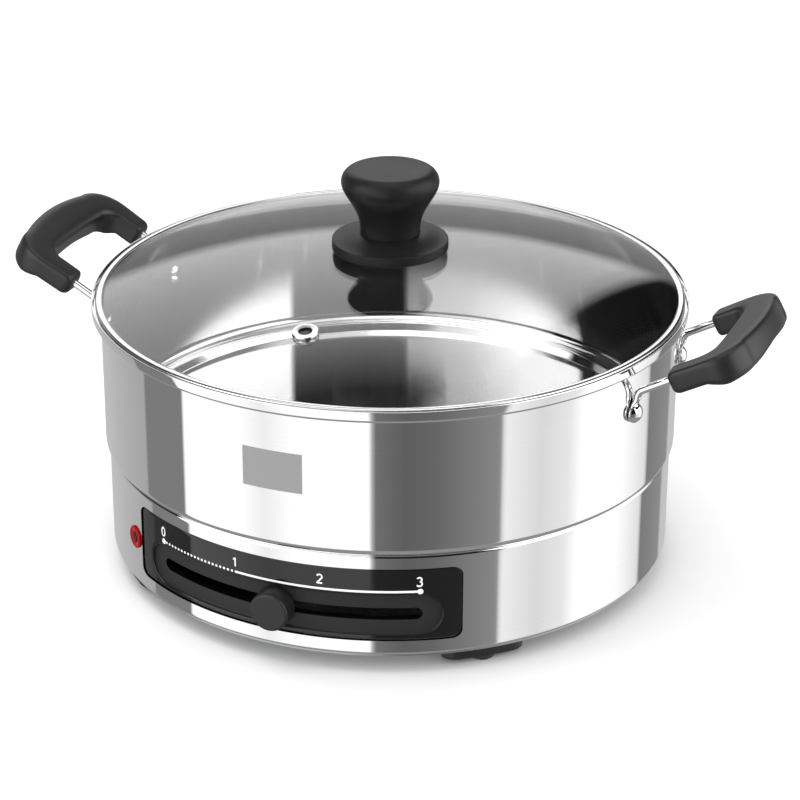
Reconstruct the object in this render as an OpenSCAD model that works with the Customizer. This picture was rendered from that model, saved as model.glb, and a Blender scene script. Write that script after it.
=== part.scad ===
// Electric hot pot: a polished steel pot on a heated base with a sliding heat control,
// two riveted side handles and a domed glass lid that lifts off.
// Millimetres. It stands on the plane z = 0, centred on the Z axis, with the control panel
// at the front (-Y) and the handles at both sides (X).

/* [Pot] */
// Outside radius of the pot's wall
pot_r = 148; // [138:1:162]
// Thickness of the pot's sheet steel
pot_t = 0.8; // [0.6:0.1:1.2]
// Height of the pot from its seam with the base to the top of the rim
pot_h = 78; // [66:1:110]
// Outside radius of the bend where the wall runs into the seam
pot_bend = 4; // [3:0.5:6]
// How far the cooking floor lies below the seam
floor_drop = 4.2; // [3.2:0.1:6]
// Width of the flat ring on which the pot sits on the base
seat_w = 4.5; // [3.5:0.1:7]
// How far the rim steps out past the wall
rim_flare = 4.6; // [4:0.1:6]
// Height of the stepped rim
rim_h = 5.8; // [5.2:0.1:8]

/* [Base] */
// Height of the base's wall
base_h = 54; // [48:1:70]
// How far the base's wall lies inside the pot's wall
base_inset = 2; // [1.5:0.1:4]
// Thickness of the base's sheet steel
shell_t = 0.8; // [0.6:0.1:1.2]
// Outside radius of the bends at the top and bottom of the base's wall
shell_bend = 1.6; // [1.3:0.1:2.5]
// Width of the turned-in edge at the bottom of the base's wall
hem_w = 9; // [7:0.5:14]
// Thickness of the bottom plate
plate_t = 1.2; // [0.8:0.1:2]
// Number of round vents in the bottom plate
vents = 18; // [6:1:24]
// Diameter of a vent
vent_d = 7; // [4:0.5:9]

/* [Feet] */
// Height of the base's wall above the table
foot_h = 10.2; // [9:0.1:14]
// Length of a foot along its arc
foot_len = 42; // [34:1:60]
// Width of a foot
foot_w = 15; // [14:0.5:20]
// Distance from the base's wall in to the foot's outer edge
foot_inset = 4; // [3:0.5:8]
// Angle of the first foot from the front, towards the right
foot_turn = 42; // [40:1:50]
// Diameter of the rubber pad under a foot
pad_d = 12; // [9.5:0.5:13]
// How far a pad stands out of its foot
pad_proud = 2.4; // [1.5:0.1:3]

/* [Heat control] */
// How far the slider swings to each side, in degrees
slider_travel = 27; // [22:1:28]
// Diameter of the slider's knob
slider_d = 20; // [16:0.5:24]
// Height of the slider's knob
slider_h = 10.3; // [7.5:0.1:12]
// Height of the slot that the slider's lever runs in
slot_h = 6; // [4.6:0.1:7]
// Gap between the slider's knob and the edge of its track
track_gap = 1; // [0.8:0.1:2]
// Depth of the track in the panel
track_depth = 1.7; // [1.2:0.1:2]
// Thickness of the panel
panel_t = 4; // [3.6:0.1:5]
// How far the panel's face lies inside the base's wall
panel_inset = 0.7; // [0.4:0.1:1]
// Panel beside the track, at each end
panel_side = 8.4; // [6:0.2:10]
// Distance of the panel's upper edge below the seam
panel_down = 7.1; // [6.5:0.1:10]
// Panel below the track
panel_below = 2.6; // [2:0.1:4]
// Height of the panel's lower edge above the bottom of the base's wall
panel_up = 7.9; // [7.5:0.1:9]
// Radius of the panel's corners
panel_corner = 4.6; // [3:0.2:8]
// Diameter of the indicator lamp
lamp_d = 11.8; // [10:0.2:13]
// Height of the lamp above the bottom of the base's wall
lamp_up = 25.3; // [18:0.1:34]

/* [Heating] */
// Radius of the heating plate
heater_r = 105; // [98:1:115]
// Thickness of the heating plate
heater_t = 8; // [6:0.5:10]
// Radius of the heating element's ring
element_r = 88; // [80:1:92]
// Diameter of the heating element's tube
element_d = 6.6; // [6:0.2:8]
// Distance of the heat shield below the heating plate
shield_gap = 10; // [9:0.5:11]
// Distance of the tie studs from the middle
stud_ring = 68; // [62:1:72]

/* [Power inlet] */
// Width of the inlet's mouth
mouth_w = 26; // [22:1:30]
// Height of the inlet's mouth
mouth_h = 16; // [13:1:20]
// Depth of the inlet's mouth
mouth_deep = 17; // [14:1:22]
// Height of the inlet's middle above the bottom of the base's wall
inlet_up = 26; // [22:1:30]

/* [Handles] */
// Diameter of the handle's steel rods
rod_d = 4; // [3.6:0.1:5]
// Distance of each rod from the handle's middle
rod_side = 38.6; // [34:0.2:44]
// Slope of the handle, in degrees
handle_tilt = 28.9; // [20:0.1:34]
// Distance of the handle's root below the rim
handle_drop = 15.3; // [14:0.1:24]
// Diameter of the rod's flattened eye
eye_d = 10; // [9:0.5:12]
// Distance from the pot's wall to the grip, along the rods
grip_start = 16.3; // [14:0.1:22]
// Reach of the grip from the pot's wall, along the rods
grip_reach = 58.6; // [56:0.1:68]
// Width of the grip's arms
arm_w = 13.1; // [11:0.1:15]
// Width of the grip's bar
bar_w = 20.7; // [16:0.1:22]
// Height of the grip's arms
arm_h = 12.1; // [11:0.1:15]
// Height of the grip at its corners
corner_h = 16; // [12:0.1:18]
// Height of the grip in the middle of its bar
bar_h = 14.2; // [12:0.1:18]

/* [Lid] */
// Thickness of the lid's glass
glass_t = 3.2; // [3:0.1:4]
// Rise of the glass dome
dome_rise = 22; // [16:1:40]
// Gap between the lid's steel band and the pot's rim
lid_gap = 1.2; // [0.8:0.1:1.6]
// Thickness of the lid's steel band
band_t = 0.5; // [0.4:0.05:0.7]
// Width of the steel band seen from above
band_w = 3.9; // [3.2:0.1:5]
// Distance of the steam vent from the lid's middle
steam_r = 97; // [70:1:110]
// Angle of the steam vent from the front, in degrees
steam_turn = -2.5; // [-30:0.5:30]
// Diameter of the steam vent's hole
steam_d = 6.6; // [4:0.2:8]
// Radius of the guard disc under the lid's knob
guard_r = 29.7; // [26:0.1:36]
// Height of the guard disc
guard_h = 5; // [4:0.1:7]
// Radius of the knob at its widest
knob_r = 24.9; // [21:0.1:28]
// Radius of the knob's neck
neck_r = 14.8; // [12:0.1:17]
// Height of the knob above the guard disc
knob_h = 37; // [32:0.5:44]

/* [Hidden] */
$fn = 180;

// Shared clearances
slip = 0.1;      // radial play of a screw, stud or rivet in its hole
running = 0.05;  // radial play of the turning shaft
seat = 0.1;      // gap between pieces that seat on a curved wall
run_gap = 0.3;   // least gap between pieces that move past each other
cut = 20;        // how far a cutting shape reaches past what it cuts
arc_steps = 8;   // straight steps in a quarter-round
steel = "silver";
bright = "gainsboro";
black = [0.16, 0.16, 0.17];
dark = [0.1, 0.1, 0.11];

// Levels and radii that pieces share
base_r = pot_r - base_inset;
wall_in = base_r - shell_t;
z_base = foot_h;
z_seam = z_base + base_h;
z_rim = z_seam + pot_h;
z_step = z_rim - rim_h;
rim_r = pot_r + rim_flare;
seat_out = pot_r - pot_bend;
seat_in = seat_out - seat_w;
floor_r = seat_in - floor_drop / 2;
z_floor = z_seam - floor_drop;
z_heater = z_floor - heater_t;
z_shield = z_heater - shield_gap;

// Feet
z_foot = z_base - plate_t;
foot_out = base_r - foot_inset;
foot_mid = foot_out - foot_w / 2;
foot_half = (foot_len - foot_w) / 2 / foot_mid * 180 / PI;
pad_deep = 1.6;
pad_screw_d = 3.5;
pad_screw_head = 6.6;
pad_screw_head_h = 1.6;
pad_screw_tip = 2;
foot_count = 4;

// Panel, track and slot, as outlines seen from the front
panel_r = base_r - panel_inset;
track_floor = panel_r - track_depth;
panel_back = panel_r - panel_t;
track_h = slider_d + 2 * track_gap;
track_half = panel_r * sin(slider_travel) + track_gap + track_h / 2;
window_half = track_half + panel_side;
window_h = base_h - panel_up - panel_down;
z_window = z_base + panel_up + window_h / 2;
z_track = z_base + panel_up + panel_below + track_h / 2;
panel_fit = 0.25;
panel_lap = 4;
panel_stud_d = 2;
panel_stud_tail = 4;
panel_stud_len = panel_t + panel_stud_tail;
panel_stud_x = window_half / 2;
panel_nut_af = 4;
panel_nut_h = 1.6;
panel_nut_out = panel_stud_x + panel_nut_af / 2 / cos(30);
panel_stud_up = window_h / 2 + panel_lap * 0.4;

// Lever and thermostat
neck_w = 4;
neck_play = 1;
neck_h = slot_h - 2 * neck_play;
slot_end = 1.5;
slot_half = track_floor * sin(slider_travel) + neck_w / 2 + slot_end;
knob_lift = 0.8;
knob_back = track_floor + knob_lift;
knob_round = 1.2;
knob_face = 3;
neck_in_knob = slider_h - knob_face;
lever_w = 12;
lever_t = 2;
lever_back = 2;
lever_end = panel_back - lever_back;
hub_d = 16;
hub_h = 6;
shaft_d = 6;
shaft_foot = 3;
thermostat_d = 36;
ear_r = 27;
ear_t = 2;
ear_screw_r = 22;
ear_screw_d = 3;
ear_screw_head_d = 5.5;
ear_screw_head_h = 2;
ear_screw_deep = 5;
tab_w = 6.3;
tab_t = 0.8;
tab_len = 8;
tab_in = 2;
hub_clear = 4.3;
z_thermostat = z_track + hub_h / 2 + hub_clear;
thermostat_h = z_heater - z_thermostat;
shaft_in = thermostat_h * 0.7;
clip_d = 11;
clip_h = 1;

// Heating element, shield and studs
element_open = 40;
pin_d = 5;
pin_tip_d = 3;
pin_tip = 8;
pin_turn = element_d / element_r * 180 / PI;
shield_past = 6;
shield_r = heater_r + shield_past;
shield_t = 0.8;
shield_lip = 7;
shield_clear = 3;
shield_hole = ear_r + shield_clear;
pin_hole = 8;
stud_d = 5;
stud_shoulder_d = 8;
stud_below = 5;
nut_af = 8;
nut_h = 3.6;
stud_count = 3;
stud_turn = 60;
vent_ring = stud_ring * 0.6;
fuse_d = 4;
fuse_len = 14;
fuse_r = 46;
fuse_turn = 120;
fuse_clip_w = 6;
fuse_clip_t = 0.8;
fuse_foot = 8;
fuse_hole_r = fuse_d / 2 + 2 * seat;
z_fuse = -fuse_d / 2 - seat / 2;

// Lamp, beside the panel
z_lamp = z_base + lamp_up;
lamp_side = 1.2;
lamp_turn = -asin(window_half / base_r) - (lamp_side + lamp_d / 2) / base_r * 180 / PI;
lamp_ledge = 1.5;
lamp_body_d = lamp_d - 2 * lamp_ledge;
lamp_proud = 1.2;
lamp_rim = 0.4;
lamp_deep = 16;
lamp_nut_wall = 1.2;
lamp_nut_d = lamp_body_d + 2 * lamp_nut_wall;
lamp_nut_h = 3;
lamp_nut_seat = sqrt(wall_in * wall_in - lamp_nut_d * lamp_nut_d / 4);

// Inlet, at the back
z_inlet = z_base + inlet_up;
inlet_wall = 3.5;
inlet_corner = 4;
inlet_flange_t = 2.4;
inlet_ear = 9;
inlet_over = 2;
inlet_back = 5;
inlet_half = mouth_w / 2 + inlet_wall;
inlet_screw_d = 3;
inlet_screw_head = 5.6;
inlet_screw_head_h = 1.8;
inlet_screw_turn = asin((inlet_half + inlet_ear / 2) / base_r);
inlet_nut_af = 5.5;
inlet_nut_h = 2.4;
inlet_screw_tip = 1.5;
inlet_screw_len = inlet_flange_t + shell_t + inlet_nut_h + inlet_screw_tip;
inlet_pin_d = 4;
inlet_pin_side = 6.5;
inlet_pin_rise = 3;
inlet_pin_short = 8;
inlet_pin_tail = 6;
mouth_floor = base_r + inlet_flange_t - mouth_deep;

// Handles
z_handle = z_rim - handle_drop;
rod_bend = 5;
bend_swell = 0.04;
bend_lap = 0.3;
rod_in_grip = 27;
rod_off = 0.25;
rod_root = pot_r + seat + rod_off + rod_d / 2;
rod_turn = asin(rod_side / rod_root);
rod_x = rod_root * cos(rod_turn);
bend_x = rod_x + rod_bend;
bend_out = rod_bend * sin(handle_tilt);
bend_up = rod_bend * cos(handle_tilt);
z_bend = z_handle + (bend_x - bend_out - pot_r) * tan(handle_tilt) - bend_up;
rod_from = (bend_x - bend_out - pot_r) / cos(handle_tilt);
eye_t = rod_d / 2;
eye_neck = rod_d * 1.6;
eye_lap = 1.2;
z_eye = z_bend - 3;
z_rivet = z_eye - eye_d / 2 - eye_lap / 2;
rivet_d = 5;
rivet_head_d = eye_d;
rivet_head_h = 2.8;
rivet_tail_d = 9;
rivet_tail_h = 1.6;
head_lap = 1;

// Grip outline, seen square to the handle's slope: reach from the wall, then distance sideways
grip_top = 5.2;
grip_round = 2.6;
grip_soft = 0.43;
grip_bow = 3.6;
hole_bow = 0.75;
hole_corner = 8.1;
hole_half = rod_side - arm_w / 2;
hole_end = grip_reach - bar_w - hole_bow;
hole_turn = hole_end - hole_corner;
arm_side = rod_side + arm_w / 2;
grip_flare = 1;
grip_corner = 17.5;
grip_side = arm_side + grip_flare;
grip_turn = grip_reach - grip_bow - grip_corner;
arm_share = 0.36;
bar_share = 0.66;
drop_from = 0.31;
drop_over = 0.16;
ring_n = 24;
rod_end_gap = 0.5;

// Lid
band_r = rim_r - pot_t - lid_gap;
lip_r = band_r - band_w;
glass_play = 0.1;
dome_fn = 1440;
glass_r = band_r - band_t - 3 * glass_play;
dome_r = (lip_r * lip_r + dome_rise * dome_rise) / (2 * dome_rise);
z_band = z_step + pot_t + run_gap;
z_dome = z_band + band_t + glass_play - sqrt(pow(dome_r - glass_t, 2) - glass_r * glass_r);
z_apex = z_dome + dome_r;
seal_t = 0.8;
seal_r = 13;
z_guard = z_apex + seal_t;
guard_round = 1.6;
z_knob = z_guard + guard_h;
knob_round_r = 4.6;
knob_rise = 1.6;
knob_steps = 14;
knob_screw_d = 5;
knob_screw_in = 15;
knob_screw_gap = 1;
screw_head_d = 9;
screw_head_h = 2.6;
washer_r = 11;
washer_t = 1;
z_washer = z_dome + sqrt(pow(dome_r - glass_t, 2) - washer_r * washer_r) - washer_t;
eyelet_wall = 1.2;
eyelet_d = steam_d + 2 * eyelet_wall;
eyelet_lip = 2.2;
eyelet_rim_d = eyelet_d + 2 * eyelet_lip;
eyelet_rim_h = 1.2;
steam_tilt = asin(steam_r / dome_r);

// Value between a and b, and a slow start and stop between 0 and 1
function mix(a, b, k) = a + (b - a) * k;
function ease(k) = k * k * (3 - 2 * k);
function ease_in(k, from, over) = ease(min(1, max(0, (k - from) / over)));

// Points along an arc about c, from angle a to angle b
function arc_points(c, r, a, b, n = arc_steps) =
  [for (i = [0:n]) c + r * [cos(mix(a, b, i / n)), sin(mix(a, b, i / n))]];

// Height of the glass's outer or inner face at a radius
function glass_top(r) = z_dome + sqrt(dome_r * dome_r - r * r);
function glass_under(r) = z_dome + sqrt(pow(dome_r - glass_t, 2) - r * r);

// Inner edge of the grip, from the end of an arm (k = 0) round the corner to the bar's middle (k = 1)
function hole_edge(k) =
  k < arm_share ? [mix(grip_start, hole_turn, k / arm_share), -hole_half]
  : k < bar_share ?
    let (a = mix(-90, 0, (k - arm_share) / (bar_share - arm_share)))
    [hole_turn + hole_corner * cos(a), hole_corner - hole_half + hole_corner * sin(a)]
  : let (u = (k - bar_share) / (1 - bar_share))
    [hole_end + hole_bow * u * (2 - u), (hole_corner - hole_half) * (1 - u)];

// Outer edge of the grip at the same places
function grip_edge(k) =
  k < arm_share ?
    let (u = k / arm_share)
    [mix(grip_start, grip_turn, u), -mix(arm_side, grip_side, ease(u))]
  : k < bar_share ?
    let (a = mix(-90, 0, (k - arm_share) / (bar_share - arm_share)))
    [grip_turn + grip_corner * cos(a), grip_corner - grip_side + grip_corner * sin(a)]
  : let (u = (k - bar_share) / (1 - bar_share))
    [grip_turn + grip_corner + grip_bow * u * (2 - u), (grip_corner - grip_side) * (1 - u)];

// One soft-cornered cross-section of the grip: the arm's end is rounded over grip_round
function grip_ring(k, side) =
  let (inner = hole_edge(k), outer = grip_edge(k))
  let (along = min(grip_round, inner[0] - grip_start), left = grip_round - along)
  let (less = k < arm_share ? grip_round - sqrt(grip_round * grip_round - left * left) : 0)
  let (span = norm(outer - inner), across = (outer - inner) / span)
  let (deep = mix(arm_h, corner_h, ease_in(k, drop_from, drop_over)))
  let (high = mix(deep, bar_h, ease_in(k, bar_share, 1 - bar_share)))
  let (half_w = span / 2 - less, half_h = high / 2 - less, middle = (inner + outer) / 2)
  [for (j = [0:ring_n - 1])
    let (c = cos(360 * j / ring_n), s = sin(360 * j / ring_n))
    let (p = middle + across * half_w * sign(c) * pow(abs(c), grip_soft))
    [p[0], side * p[1], grip_top - high / 2 + half_h * sign(s) * pow(abs(s), grip_soft)]];

// Places along half the grip, close together where the arm's end is rounded
function end_share(d) = arm_share * d * grip_round / (hole_turn - grip_start);
grip_places = concat(
  [for (d = [0, 0.1, 0.3, 0.6, 1]) end_share(d)],
  [for (i = [1:4]) mix(end_share(1), arm_share, i / 5)],
  [for (i = [0:6]) mix(arm_share, bar_share, i / 6)],
  [for (i = [1:5]) mix(bar_share, 1, i / 5)]);
place_n = len(grip_places);
grip_rings = concat(
  [for (i = [0:place_n - 1]) grip_ring(grip_places[i], 1)],
  [for (i = [2:place_n]) grip_ring(grip_places[place_n - i], -1)]);

// Shape helpers
// Turns a piece from the front (-Y) round to an angle, positive towards +X
module round_to(angle) {
  rotate([0, 0, angle]) children();
}

// Stands a piece, drawn up the Z axis, on the front of a wall of radius r so that it points outwards
module on_wall(r, z) {
  translate([0, -r, z]) rotate([90, 0, 0]) children();
}

// Rectangle with round corners, about the origin
module soft_rect(w, h, r) {
  polygon(concat(
    arc_points([w / 2 - r, h / 2 - r], r, 0, 90),
    arc_points([r - w / 2, h / 2 - r], r, 90, 180),
    arc_points([r - w / 2, r - h / 2], r, 180, 270),
    arc_points([w / 2 - r, r - h / 2], r, 270, 360)));
}

// Slot with round ends, about the origin
module oblong(half, h) {
  polygon(concat(
    arc_points([half - h / 2, 0], h / 2, -90, 90, 2 * arc_steps),
    arc_points([h / 2 - half, 0], h / 2, 90, 270, 2 * arc_steps)));
}

// Carries an outline, seen from the front, through the front wall
module through_front(z) {
  translate([0, -base_r / 2, z]) rotate([90, 0, 0]) linear_extrude(base_r / 2 + cut) children();
}

// Wall of a cylinder between two radii
module tube(r_in, r_out, z, h) {
  translate([0, 0, z]) difference() {
    cylinder(r = r_out, h = h);
    translate([0, 0, -cut]) cylinder(r = r_in, h = h + 2 * cut);
  }
}

// Plain hexagon nut on the Z axis
module hex_nut(d, flats, h) {
  difference() {
    cylinder(d = flats / cos(30), h = h, $fn = 6);
    translate([0, 0, -cut]) cylinder(d = d + 2 * slip, h = h + 2 * cut);
  }
}

// Round-headed rivet or screw cap: a slice of a ball, standing on z = 0
module dome_cap(d, h) {
  ball = (d * d / 4 + h * h) / (2 * h);
  intersection() {
    translate([0, 0, h - ball]) sphere(ball);
    cylinder(d = d + cut, h = h + cut);
  }
}

// Places round the base
module at_feet() {
  for (i = [0:foot_count - 1])
    round_to(foot_turn + 360 / foot_count * i) children();
}

module at_studs() {
  for (i = [0:stud_count - 1])
    round_to(stud_turn + 360 / stud_count * i) translate([0, -stud_ring, 0]) children();
}

module at_panel_studs() {
  for (x = [-1, 1], y = [-1, 1])
    translate([x * panel_stud_x, 0, z_window + y * panel_stud_up]) children();
}

module at_inlet_screws() {
  for (side = [-1, 1])
    round_to(180 + side * inlet_screw_turn) children();
}

module at_rivets() {
  for (side = [-1, 1], end = [-1, 1])
    round_to(side * (90 + end * rod_turn)) children();
}

// Base
// Steel wall with a turned-in ring at the top for the pot and a hem at the bottom
module base_shell() {
  color(steel) difference() {
    rotate_extrude() polygon(concat(
      [[base_r - hem_w, z_base]],
      arc_points([base_r - shell_bend, z_base + shell_bend], shell_bend, -90, 0),
      arc_points([base_r - shell_bend, z_seam - shell_bend], shell_bend, 0, 90),
      [[seat_in + run_gap, z_seam], [seat_in + run_gap, z_seam - shell_t]],
      [[wall_in, z_seam - shell_t], [wall_in, z_base + shell_t], [base_r - hem_w, z_base + shell_t]]));
    through_front(z_window) soft_rect(2 * window_half, window_h, panel_corner);
    round_to(lamp_turn) on_wall(wall_in - cut, z_lamp) cylinder(d = lamp_body_d + 2 * slip, h = 2 * cut);
    round_to(180) through_front(z_inlet)
      soft_rect(2 * (inlet_half + panel_fit), mouth_h + 2 * (inlet_wall + panel_fit), inlet_corner);
    at_inlet_screws() on_wall(wall_in - cut, z_inlet) cylinder(d = inlet_screw_d + 2 * slip, h = 2 * cut);
  }
}

// Flat steel cover under the base, drawn up against the hem by the tie studs
module bottom_plate() {
  color([0.45, 0.46, 0.48]) difference() {
    translate([0, 0, z_foot]) cylinder(r = base_r - shell_bend, h = plate_t);
    at_studs() cylinder(d = stud_d + 2 * slip, h = z_base + cut);
    at_feet() translate([0, -foot_mid, 0]) cylinder(d = pad_screw_d + 2 * slip, h = z_base + cut);
    for (i = [0:vents - 1])
      round_to(360 / vents * i) translate([0, -vent_ring, 0]) cylinder(d = vent_d, h = z_base + cut);
  }
}

// Arc-shaped feet with round ends, each with a pocket for its pad and its screw
module feet() {
  color(black) at_feet() difference() {
    translate([0, 0, pad_proud]) linear_extrude(z_foot - pad_proud) polygon(concat(
      arc_points([0, 0], foot_out, -90 - foot_half, -90 + foot_half),
      [for (i = [1:arc_steps - 1]) foot_end(1, mix(-90 + foot_half, 90 + foot_half, i / arc_steps))],
      arc_points([0, 0], foot_out - foot_w, -90 + foot_half, -90 - foot_half),
      [for (i = [1:arc_steps - 1]) foot_end(-1, mix(90 - foot_half, 270 - foot_half, i / arc_steps))]));
    translate([0, -foot_mid, 0]) {
      cylinder(d = pad_d + 2 * slip, h = pad_proud + pad_deep);
      cylinder(d = pad_screw_head + 2 * slip, h = pad_proud + pad_deep + pad_screw_head_h);
      cylinder(d = pad_screw_d + 2 * slip, h = z_base + cut);
    }
  }
}

function foot_end(side, a) =
  foot_mid * [cos(-90 + side * foot_half), sin(-90 + side * foot_half)] + foot_w / 2 * [cos(a), sin(a)];

// Rubber buttons that the pot stands on
module foot_pads() {
  color(dark) at_feet() translate([0, -foot_mid, 0]) cylinder(d = pad_d, h = pad_proud + pad_deep);
}

// Screws above the pads that hold the feet to the bottom plate
module foot_screws() {
  color(steel) at_feet() translate([0, -foot_mid, pad_proud + pad_deep]) {
    cylinder(d = pad_screw_head, h = pad_screw_head_h);
    cylinder(d = pad_screw_d, h = z_base - pad_proud - pad_deep + pad_screw_tip);
  }
}

// Moulded panel: its face fills the window, its back laps behind the wall above and below,
// and its left end is cut back to clear the lamp's nut
module control_panel() {
  color(dark) difference() {
    union() {
      intersection() {
        tube(panel_back, panel_r, z_base, base_h);
        through_front(z_window)
          soft_rect(2 * (window_half - panel_fit), window_h - 2 * panel_fit, panel_corner);
      }
      intersection() {
        tube(panel_back, wall_in - seat, z_base, base_h);
        through_front(z_window)
          square([2 * (window_half - panel_fit), window_h + 2 * panel_lap], center = true);
      }
    }
    intersection() {
      tube(track_floor, base_r + cut, z_base, base_h);
      through_front(z_track) oblong(track_half, track_h);
    }
    through_front(z_track) oblong(slot_half, slot_h);
    at_panel_studs() rotate([90, 0, 0]) cylinder(d = panel_stud_d + 2 * slip, h = base_r + cut);
    round_to(lamp_turn) on_wall(panel_back - cut, z_lamp)
      cylinder(d = lamp_nut_d + 2 * run_gap, h = cut + panel_t);
  }
}

// Studs welded behind the wall, which the panel hangs on
module panel_studs() {
  color(steel) intersection() {
    at_panel_studs() translate([0, panel_stud_len - stud_front(), 0]) rotate([90, 0, 0])
      cylinder(d = panel_stud_d, h = panel_stud_len + cut);
    cylinder(r = wall_in, h = z_rim);
  }
}

function stud_front() = sqrt(wall_in * wall_in - panel_stud_x * panel_stud_x);

// Nuts behind the panel
module panel_nuts() {
  color(steel) at_panel_studs()
    translate([0, seat / 2 - sqrt(panel_back * panel_back - panel_nut_out * panel_nut_out), 0])
      rotate([-90, 0, 0]) hex_nut(panel_stud_d, panel_nut_af, panel_nut_h);
}

// Round knob of the heat control, with a pocket for the lever's neck
module slider_knob() {
  color(black) difference() {
    on_wall(knob_back, z_track) rotate_extrude() polygon(concat(
      [[0, 0], [slider_d / 2 - knob_round / 2, 0], [slider_d / 2, knob_round / 2]],
      arc_points([slider_d / 2 - knob_round, slider_h - knob_round], knob_round, 0, 90),
      [[0, slider_h]]));
    translate([-neck_w / 2 - slip, -knob_back - neck_in_knob - slip, z_track - neck_h / 2 - slip])
      cube([neck_w + 2 * slip, neck_in_knob + cut, neck_h + 2 * slip]);
  }
}

// Flat lever on the thermostat's shaft, with a neck that runs in the panel's slot
module control_lever() {
  color(steel) difference() {
    union() {
      translate([0, 0, z_track - hub_h / 2]) cylinder(d = hub_d, h = hub_h);
      translate([-lever_w / 2, -lever_end, z_track - lever_t / 2]) cube([lever_w, lever_end, lever_t]);
      translate([-neck_w / 2, -knob_back - neck_in_knob, z_track - neck_h / 2])
        cube([neck_w, knob_back + neck_in_knob - lever_end + lever_w, neck_h]);
    }
    translate([0, 0, z_track - cut]) cylinder(d = shaft_d + 2 * running, h = 2 * cut);
  }
}

// Shaft that the lever turns, up into the thermostat
module thermostat_shaft() {
  color(bright) translate([0, 0, z_track - hub_h / 2 - shaft_foot])
    cylinder(d = shaft_d, h = z_thermostat + shaft_in - (z_track - hub_h / 2 - shaft_foot));
}

// Ring that keeps the lever on the shaft
module shaft_clip() {
  color(steel) tube(shaft_d / 2 + running, clip_d / 2, z_track - hub_h / 2 - clip_h, clip_h);
}

// Thermostat pressed against the heating plate, with ears for its screws and two tabs
module thermostat() {
  color("wheat") difference() {
    union() {
      translate([0, 0, z_thermostat]) cylinder(d = thermostat_d, h = thermostat_h);
      translate([0, 0, z_heater - ear_t]) cylinder(r = ear_r, h = ear_t);
      for (side = [-1, 1])
        translate([side * tab_w - tab_w / 2, thermostat_d / 2 - tab_in, z_thermostat + tab_in])
          cube([tab_w, tab_len, tab_t]);
    }
    translate([0, 0, z_thermostat - cut])
      cylinder(d = shaft_d + 2 * running, h = cut + shaft_in + run_gap);
    for (side = [-1, 1])
      translate([side * ear_screw_r, 0, z_heater - cut]) cylinder(d = ear_screw_d + 2 * slip, h = 2 * cut);
  }
}

// Screws through the thermostat's ears
module thermostat_screws() {
  color(steel) for (side = [-1, 1])
    translate([side * ear_screw_r, 0, z_heater - ear_t]) {
      translate([0, 0, -ear_screw_head_h]) cylinder(d = ear_screw_head_d, h = ear_screw_head_h);
      cylinder(d = ear_screw_d, h = ear_t + ear_screw_deep);
    }
}

// Shallow pan under the element that throws its heat back up
module heat_shield() {
  color(bright) difference() {
    union() {
      translate([0, 0, z_shield]) cylinder(r = shield_r, h = shield_t);
      tube(shield_r - shield_t, shield_r, z_shield, shield_lip);
    }
    translate([0, 0, z_shield - cut]) cylinder(r = shield_hole, h = 2 * cut);
    at_studs() cylinder(d = stud_d + 2 * slip, h = z_rim);
    at_element_pins() translate([0, 0, z_shield - cut]) cylinder(d = pin_hole, h = 2 * cut);
  }
}

// Cast aluminium plate under the cooking floor, grooved for the element
module heating_plate() {
  color([0.68, 0.69, 0.7]) difference() {
    translate([0, 0, z_heater]) cylinder(r = heater_r, h = heater_t);
    translate([0, 0, z_heater]) rotate_extrude() translate([element_r, 0]) circle(d = element_d + 2 * slip);
    for (side = [-1, 1])
      translate([side * ear_screw_r, 0, z_heater - cut])
        cylinder(d = ear_screw_d + 2 * slip, h = cut + ear_screw_deep + slip);
    at_fuse() cylinder(d = ear_screw_d + 2 * slip, h = ear_screw_deep + slip);
  }
}

module at_element_pins() {
  for (side = [-1, 1])
    round_to(180 + side * (element_open / 2 + pin_turn)) translate([0, -element_r, 0]) children();
}

// Tube bent to a ring that is open at the back, with a cold pin down from each end
module heating_element() {
  color([0.35, 0.33, 0.32]) {
    translate([0, 0, z_heater]) rotate([0, 0, 90 + element_open / 2])
      rotate_extrude(angle = 360 - element_open) translate([element_r, 0]) circle(d = element_d);
    at_element_pins() {
      translate([0, 0, z_shield - pin_tip / 2]) cylinder(d = pin_d, h = z_heater - z_shield + pin_tip / 2);
      translate([0, 0, z_shield - pin_tip]) cylinder(d = pin_tip_d, h = pin_tip);
    }
  }
}

// Place of the fuse's screw under the heating plate
module at_fuse() {
  round_to(fuse_turn) translate([0, -fuse_r, z_heater]) children();
}

// Small round fuse against the heating plate
module thermal_fuse() {
  color("white") at_fuse() translate([-fuse_len / 2, -fuse_foot, z_fuse])
    rotate([0, 90, 0]) cylinder(d = fuse_d, h = fuse_len);
}

// Bent strip that holds the fuse up, and its screw
module fuse_clip() {
  color(steel) at_fuse() {
    difference() {
      union() {
        translate([-fuse_clip_w / 2, -fuse_foot, -fuse_clip_t])
          cube([fuse_clip_w, fuse_foot + ear_screw_head_d / 2, fuse_clip_t]);
        translate([-fuse_clip_w / 2, -fuse_foot, z_fuse]) rotate([0, 90, 0])
          cylinder(r = fuse_hole_r + fuse_clip_t, h = fuse_clip_w);
      }
      translate([-fuse_clip_w, -fuse_foot, z_fuse]) rotate([0, 90, 0])
        cylinder(r = fuse_hole_r, h = 2 * fuse_clip_w);
      translate([-fuse_clip_w, -2 * fuse_foot, 0]) cube([2 * fuse_clip_w, 3 * fuse_foot, cut]);
    }
    translate([0, 0, -fuse_clip_t - ear_screw_head_h]) cylinder(d = ear_screw_head_d, h = ear_screw_head_h);
    translate([0, 0, -fuse_clip_t]) cylinder(d = ear_screw_d, h = ear_screw_deep + fuse_clip_t);
  }
}

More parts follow.
